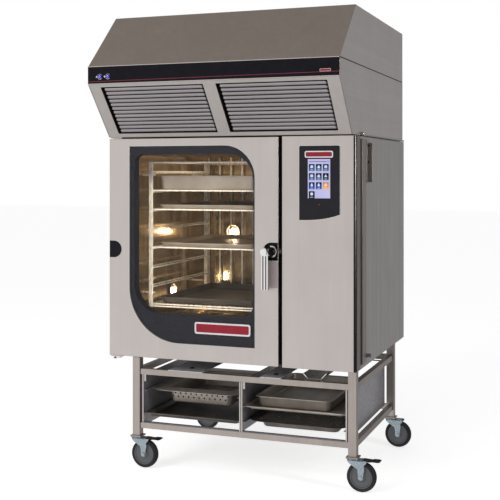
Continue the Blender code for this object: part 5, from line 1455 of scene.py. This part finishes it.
def addOvenRack():
    sizes = cavitySizes
    parts = []
    left, right = rackX[0] + 0.008, rackX[1] - 0.008
    posts = []
    for x in (left, right):
        for y in (rackY[0], rackY[1] - sizes["postWidth"]):
            posts.append(block((x - sizes["postWidth"] / 2, x + sizes["postWidth"] / 2),
                (y + 0.004, y + 0.004 + sizes["postThick"]), rackZ, 0.0014, 3))
    for level in range(sizes["levels"]):
        z = runnerHeight(level) - sizes["runnerRadius"]
        for x, inward in ((left, 1), (right, -1)):
            inner = x + inward * 0.014
            parts.append(rod((inner, rackY[0] + 0.004, z), (inner, rackY[1] - 0.004, z),
                sizes["runnerRadius"], 10))
            parts.append(rod((x, rackY[0] + 0.004, z + 0.006), (x, rackY[1] - 0.004, z + 0.006),
                sizes["runnerRadius"], 10))
            for y in (rackY[0] + 0.008, middle(rackY), rackY[1] - 0.008):
                parts.append(rod((x, y, z + 0.006), (inner, y, z), sizes["runnerRadius"] * 0.9, 8))
    for y in (rackY[0] + 0.006, rackY[1] - 0.006):
        for z in (rackZ[0] + 0.004, rackZ[1] - 0.004):
            parts.append(rod((left, y, z), (right, y, z), 0.0034, 12))
    for x in (left, right):
        for z in (rackZ[0] + 0.004, rackZ[1] - 0.004):
            parts.append(rod((x, rackY[0] + 0.006, z), (x, rackY[1] - 0.006, z), 0.0034, 12))
    addPiece("ovenRack", gathered(*posts, *parts), "rackWire", oven, ("oven_rack",))
    hooks = []
    for y in (rackY[0] + 0.05, rackY[1] - 0.05):
        for z in (rackZ[0] + 0.06, rackZ[1] - 0.06):
            hooks.append(rod((sizes["left"], y, z), (left, y, z), 0.005, 14, 0.001))
            hooks.append(rod((sizes["right"], y, z), (right, y, z), 0.005, 14, 0.001))
    addPiece("rackHooks", gathered(*hooks), "rackWire", oven)


shelfSizes = {"frameWire": 0.0034, "crossWire": 0.0016, "crossWires": 22, "bend": 0.014}


def addWireShelves():
    for number in range(1, 5):
        node = f"wire_shelf_{number}"
        x, y, z = extent(node)
        height = middle(z)
        thick, thin = shelfSizes["frameWire"], shelfSizes["crossWire"]
        inner = widened(x, -thick), widened(y, -thick)
        outline = evenCorners(inner[0], inner[1], shelfSizes["bend"], 5)
        parts = [wire([(u, v, z[0] + thick) for u, v in outline], thick, True, 10)]
        for share in (0.25, 0.5, 0.75):
            across = y[0] + (y[1] - y[0]) * share
            parts.append(rod((inner[0][0], across, z[0] + thick * 0.8),
                (inner[0][1], across, z[0] + thick * 0.8), thick * 0.8, 8))
        for i in range(shelfSizes["crossWires"]):
            at = inner[0][0] + (inner[0][1] - inner[0][0]) * (i + 1) / (shelfSizes["crossWires"] + 1)
            parts.append(rod((at, inner[1][0], height + 0.0012), (at, inner[1][1], height + 0.0012), thin,
                6))
        addPiece(f"wireShelf{number}", gathered(*parts), "rackWire", oven, (node,))


def addPan(node, name, finish, rim, taper=0.006, radius=0.020, lip=0.0035, holes=None):
    x, y, z = extent(node)
    wall = 0.0012
    bowl = widened(x, -rim), widened(y, -rim)
    foot = widened(bowl[0], -taper), widened(bowl[1], -taper)
    bend = 0.006
    rings = [
        (x, y, z[1] - lip, radius + rim), (x, y, z[1] - 0.0006, radius + rim),
        (widened(x, -0.001), widened(y, -0.001), z[1], radius + rim),
        (widened(bowl[0], 0.003), widened(bowl[1], 0.003), z[1], radius + 0.003),
        (bowl[0], bowl[1], z[1] - 0.0035, radius),
        (widened(foot[0], 0.0008), widened(foot[1], 0.0008), z[0] + wall + bend, radius),
        (widened(foot[0], -bend * 0.3), widened(foot[1], -bend * 0.3), z[0] + wall + bend * 0.3,
            radius * 0.85),
        (widened(foot[0], -bend), widened(foot[1], -bend), z[0] + wall, radius * 0.7),
    ]
    bm = bmesh.new()
    loops = [
        [bm.verts.new((u, v, height)) for u, v in evenCorners(ringX, ringY, bendRadius, 6)]
        for ringX, ringY, height, bendRadius in rings
    ]
    for first, second in zip(loops, loops[1:]):
        for i in range(len(first)):
            k = (i + 1) % len(first)
            bm.faces.new([first[i], first[k], second[k], second[i]])
    bm.faces.new(loops[-1])
    bmesh.ops.recalc_face_normals(bm, faces=bm.faces)
    if bm.faces[:][-1].normal.z < 0:
        bmesh.ops.reverse_faces(bm, faces=bm.faces)
    bmesh.ops.solidify(bm, geom=bm.faces[:], thickness=wall)
    bmesh.ops.recalc_face_normals(bm, faces=bm.faces)
    if holes:
        bm = drilled(bm, holes(bowl, foot, z))
    return addPiece(name, bm, finish, bodyOf(node), (node,), 50)


def addOvenPans():
    for node, name, finish, rim in (
        ("roasting_pan", "roastingPan", "wornPanSteel", 0.010),
        ("baking_tray_lower", "bakingTrayLower", "panSteel", 0.008),
        ("baking_tray_upper", "bakingTrayUpper", "panSteel", 0.008),
        ("steam_pan_deep", "steamPanDeep", "panSteel", 0.012),
    ):
        addPan(node, name, finish, rim)


addCavityShell()
addFanGuard()
addLamps()
addCavityLights()
addOvenRack()
addWireShelves()
addOvenPans()
print("cavity built")


# ---- stand

standX, standY, standZ = extent("stand_frame")


def addStand():
    refine("stand_frame", "standFrame", "standSteel", 0.0022, 3)
    for node, name in (("support_plank_left", "supportPlankLeft"),
            ("support_plank_right", "supportPlankRight")):
        refine(node, name, "plankZinc", 0.0006)
        x, y, z = extent(node)
        grommet = turned([(0.0070, -0.002), (0.0105, -0.002), (0.0115, 0.0), (0.0115, 0.0042),
            (0.0095, 0.0052), (0.0070, 0.0042)],
                         (middle(x), y[0] + 0.075, z[0]), "z", 28)
        addPiece(name + "Grommet", grommet, "handleBlack", oven)
    x, y, z = extent("support_plank_right")
    low = z[0] - 0.0002
    tray = plate([(0.905, low), (0.965, low), (0.990, low + 0.028), (0.986, low + 0.029),
        (0.962, low + 0.003), (0.908, low + 0.003), (0.888, low + 0.024), (0.884, low + 0.023)],
                 (y[0] + 0.040, y[0] + 0.330), "y", 0.0005)
    addPiece("hoseBracket", tray, "wireChrome", oven)


def addPanRacks():
    for node, name in (("pan_rack_left", "panRackLeft"), ("pan_rack_right", "panRackRight")):
        refine(node, name, "galvanised", 0.0005)
        x, y, z = extent(node)
        hems = [
            block((x[0] - 0.0012, x[0] + 0.0060), (y[0] - 0.0030, y[0] + 0.004), z, 0.0014, 3),
            block((x[1] - 0.0060, x[1] + 0.0012), (y[0] - 0.0030, y[0] + 0.004), z, 0.0014, 3),
            block((x[0] + 0.0045, x[0] + 0.0160), (y[0] + 0.0002, y[0] + 0.0022), (z[1] - 0.030, z[1]),
                0.0008, 2),
        ]
        addPiece(name + "Hems", gathered(*hems), "frontSteel", oven)


def holeRow(spots, direction, length, radius):
    step = Vector(direction) * length / 2
    return [rod(Vector(spot) - step, Vector(spot) + step, radius, 8) for spot in spots]


def perforatedHoles(bowl, foot, z):
    cutters = []
    x, y = bowl
    for row, height in enumerate((z[0] + 0.026, z[0] + 0.042)):
        count = 11
        for i in range(count):
            at = x[0] + (x[1] - x[0]) * (i + 0.75 + 0.5 * (row % 2)) / (count + 0.9)
            cutters += holeRow([(at, y[0] + 0.004, height)], (0, 1, 0), 0.030, 0.0044)
    for i in range(11):
        for k in range(14):
            spot = (foot[0][0] + 0.016 + (foot[0][1] - foot[0][0] - 0.032) * i / 10,
                foot[1][0] + 0.030 + (foot[1][1] - foot[1][0] - 0.060) * k / 13, z[0])
            cutters += holeRow([spot], (0, 0, 1), 0.020, 0.0032)
    return cutters


def addStandPans():
    addPan("sheet_pan_left", "sheetPanLeft", "wornPanSteel", 0.014, radius=0.015)
    addPan("perforated_pan", "perforatedPan", "panSteel", 0.078, 0.010, 0.022, 0.002,
        perforatedHoles)
    addPan("sheet_pan_right", "sheetPanRight", "panSteel", 0.014, radius=0.015)
    addPan("steam_pan_solid", "steamPanSolid", "panSteel", 0.012)
    addPan("mesh_pan", "meshPan", "wornPanSteel", 0.050, 0.012, 0.024, 0.002)
    x, y, z = extent("mesh_pan")
    innerX, innerY = widened(x, -0.052), widened(y, -0.052)
    height = z[1] - 0.0010
    wires = []
    for i in range(27):
        at = innerX[0] + (innerX[1] - innerX[0]) * i / 26
        wires.append(rod((at, innerY[0], height), (at, innerY[1], height), 0.0011, 6))
    for i in range(33):
        at = innerY[0] + (innerY[1] - innerY[0]) * i / 32
        wires.append(rod((innerX[0], at, height + 0.0014), (innerX[1], at, height + 0.0014), 0.0011, 6))
    addPiece("meshPanGrid", gathered(*wires), "wireChrome", bodyOf("mesh_pan"))


addStand()
addPanRacks()
addStandPans()
print("stand built")


# ---- casters

casterSizes = {
    "tyreShare": 0.74, "boltRadius": 0.0085, "plate": 0.052,
}


def addCaster(place):
    wheelNode, forkNode = f"caster_wheel_{place}", f"caster_fork_{place}"
    wheelX, wheelY, wheelZ = extent(wheelNode)
    forkX, forkY, forkZ = extent(forkNode)
    label = "".join(word.capitalize() for word in place.split("_"))
    centre = Vector((middle(wheelX), middle(wheelY), middle(wheelZ)))
    radius, half = (wheelX[1] - wheelX[0]) / 2, (wheelY[1] - wheelY[0]) / 2
    inner = radius * casterSizes["tyreShare"]
    wheelBody, forkBody = bodyOf(wheelNode), bodyOf(forkNode)
    tyre = turned(
        [(inner, -half * 0.80), (inner + 0.003, -half * 0.98), (radius - 0.010, -half),
            (radius - 0.004, -half * 0.86),
         (radius - 0.0010, -half * 0.55), (radius, -half * 0.20), (radius, half * 0.20),
         (radius - 0.0010, half * 0.55),
         (radius - 0.004, half * 0.86), (radius - 0.010, half), (inner + 0.003, half * 0.98),
         (inner, half * 0.80)],
        centre, "y", 72)
    addPiece(f"casterTyre{label}", tyre, "tyreRubber", wheelBody, (wheelNode,), 40)
    hub = turned(
        [(0.0076, -half), (0.016, -half), (0.019, -half * 0.78), (0.024, -half * 0.60),
            (inner - 0.006, -half * 0.66),
         (inner - 0.003, -half * 0.88), (inner + 0.0006, -half * 0.88), (inner + 0.0006, half * 0.88),
         (inner - 0.003, half * 0.88),
         (inner - 0.006, half * 0.66), (0.024, half * 0.60), (0.019, half * 0.78), (0.016, half),
         (0.0076, half)],
        centre, "y", 72)
    addPiece(f"casterWheelCentre{label}", hub, "wheelCentre", wheelBody, (), 40)

    top = forkZ[1]
    swivelX = forkX[0] + 0.024
    cheekTop = top - 0.006
    cheek = [
        (swivelX - 0.020, cheekTop), (swivelX - 0.020, cheekTop - 0.006),
        (swivelX - 0.010, cheekTop - 0.016),
        (centre.x - 0.0150, centre.z + 0.034), (centre.x - 0.0115, centre.z + 0.014),
    ] + arc((centre.x, centre.z), 0.0115, 180, 180, 12) + [
        (centre.x + 0.0115, centre.z + 0.014), (centre.x + 0.0160, centre.z + 0.034),
        (swivelX + 0.050, cheekTop - 0.018),
        (swivelX + 0.060, cheekTop - 0.009), (swivelX + 0.062, cheekTop),
    ]
    ribbed = [plate(cheek, along, "y", 0.0008, 2) for along in ((forkY[0] + 0.004, forkY[0] + 0.007),
        (forkY[1] - 0.007, forkY[1] - 0.004))]
    crown = block((swivelX - 0.021, swivelX + 0.050), (forkY[0] + 0.004, forkY[1] - 0.004),
        (cheekTop - 0.004, cheekTop + 0.001), 0.0016, 3)
    race = turned([(0.0, -0.0060), (0.0235, -0.0060), (0.0250, -0.0045), (0.0250, -0.0025),
        (0.0225, -0.0004), (0.0, -0.0004)], (swivelX, middle(forkY), top), "z", 40)
    ends = []
    for side, y in ((-1, forkY[0]), (1, forkY[1])):
        ends.append(rod((centre.x, y - side * 0.0002, centre.z), (centre.x, y - side * 0.0040, centre.z),
            casterSizes["boltRadius"], 6, 0.0006))
        ends.append(rod((centre.x, y - side * 0.0035, centre.z), (centre.x, y - side * 0.0050, centre.z),
            casterSizes["boltRadius"] * 1.25, 24, 0.0003))
    axle = rod((centre.x, forkY[0] + 0.001, centre.z), (centre.x, forkY[1] - 0.001, centre.z), 0.0058, 20)
    pieces = gathered(*ribbed, crown, race, axle, *ends)
    addPiece(f"casterFork{label}", pieces, "casterZinc", forkBody, (forkNode,), 35)
    bolts = []
    plateHalf = casterSizes["plate"] / 2
    for dx in (-1, 1):
        for dy in (-1, 1):
            spot = Vector((swivelX + dx * (plateHalf - 0.006), middle(forkY) + dy * (plateHalf - 0.006),
                top + 0.0003))
            bolts.append(rod(spot - Vector((0, 0, 0.0034)), spot, 0.0042, 6, 0.0004))
    addPiece(f"casterPlateBolts{label}", gathered(*bolts), "casterZinc", oven)
    pedalNode = f"brake_pedal_{place}"
    if pedalNode in nodes:
        x, y, z = extent(pedalNode)
        outline = [
            (x[0], z[0] + 0.001), (x[0] + 0.030, z[0]), (x[0] + 0.040, z[0] + 0.002),
            (x[1] - 0.010, z[0] + 0.001), (x[1] - 0.001, z[0] + 0.004),
            (x[1], z[0] + 0.0065), (x[1] - 0.012, z[1]), (x[0] + 0.046, z[1] - 0.001),
            (x[0] + 0.036, z[1] - 0.003), (x[0], z[1] - 0.001),
        ]
        tread = plate(outline, (y[0], y[1]), "y", 0.0012, 2)
        ribs = [block((x[1] - 0.030 + i * 0.006, x[1] - 0.027 + i * 0.006), widened(y, -0.004),
            (z[1] - 0.002, z[1] + 0.0006), 0.0004, 1) for i in range(4)]
        addPiece(f"brakePedal{label}", gathered(tread, *ribs), "handleBlack", bodyOf(pedalNode),
            (pedalNode,))


for place in ("front_left", "front_right", "rear_left", "rear_right"):
    addCaster(place)
for node, finish in (("hood_blower_motor", "motorPaint"), ("hood_blower_wheel", "galvanised")):
    dress(node, finish)
print("casters built")

bpy.context.view_layer.update()
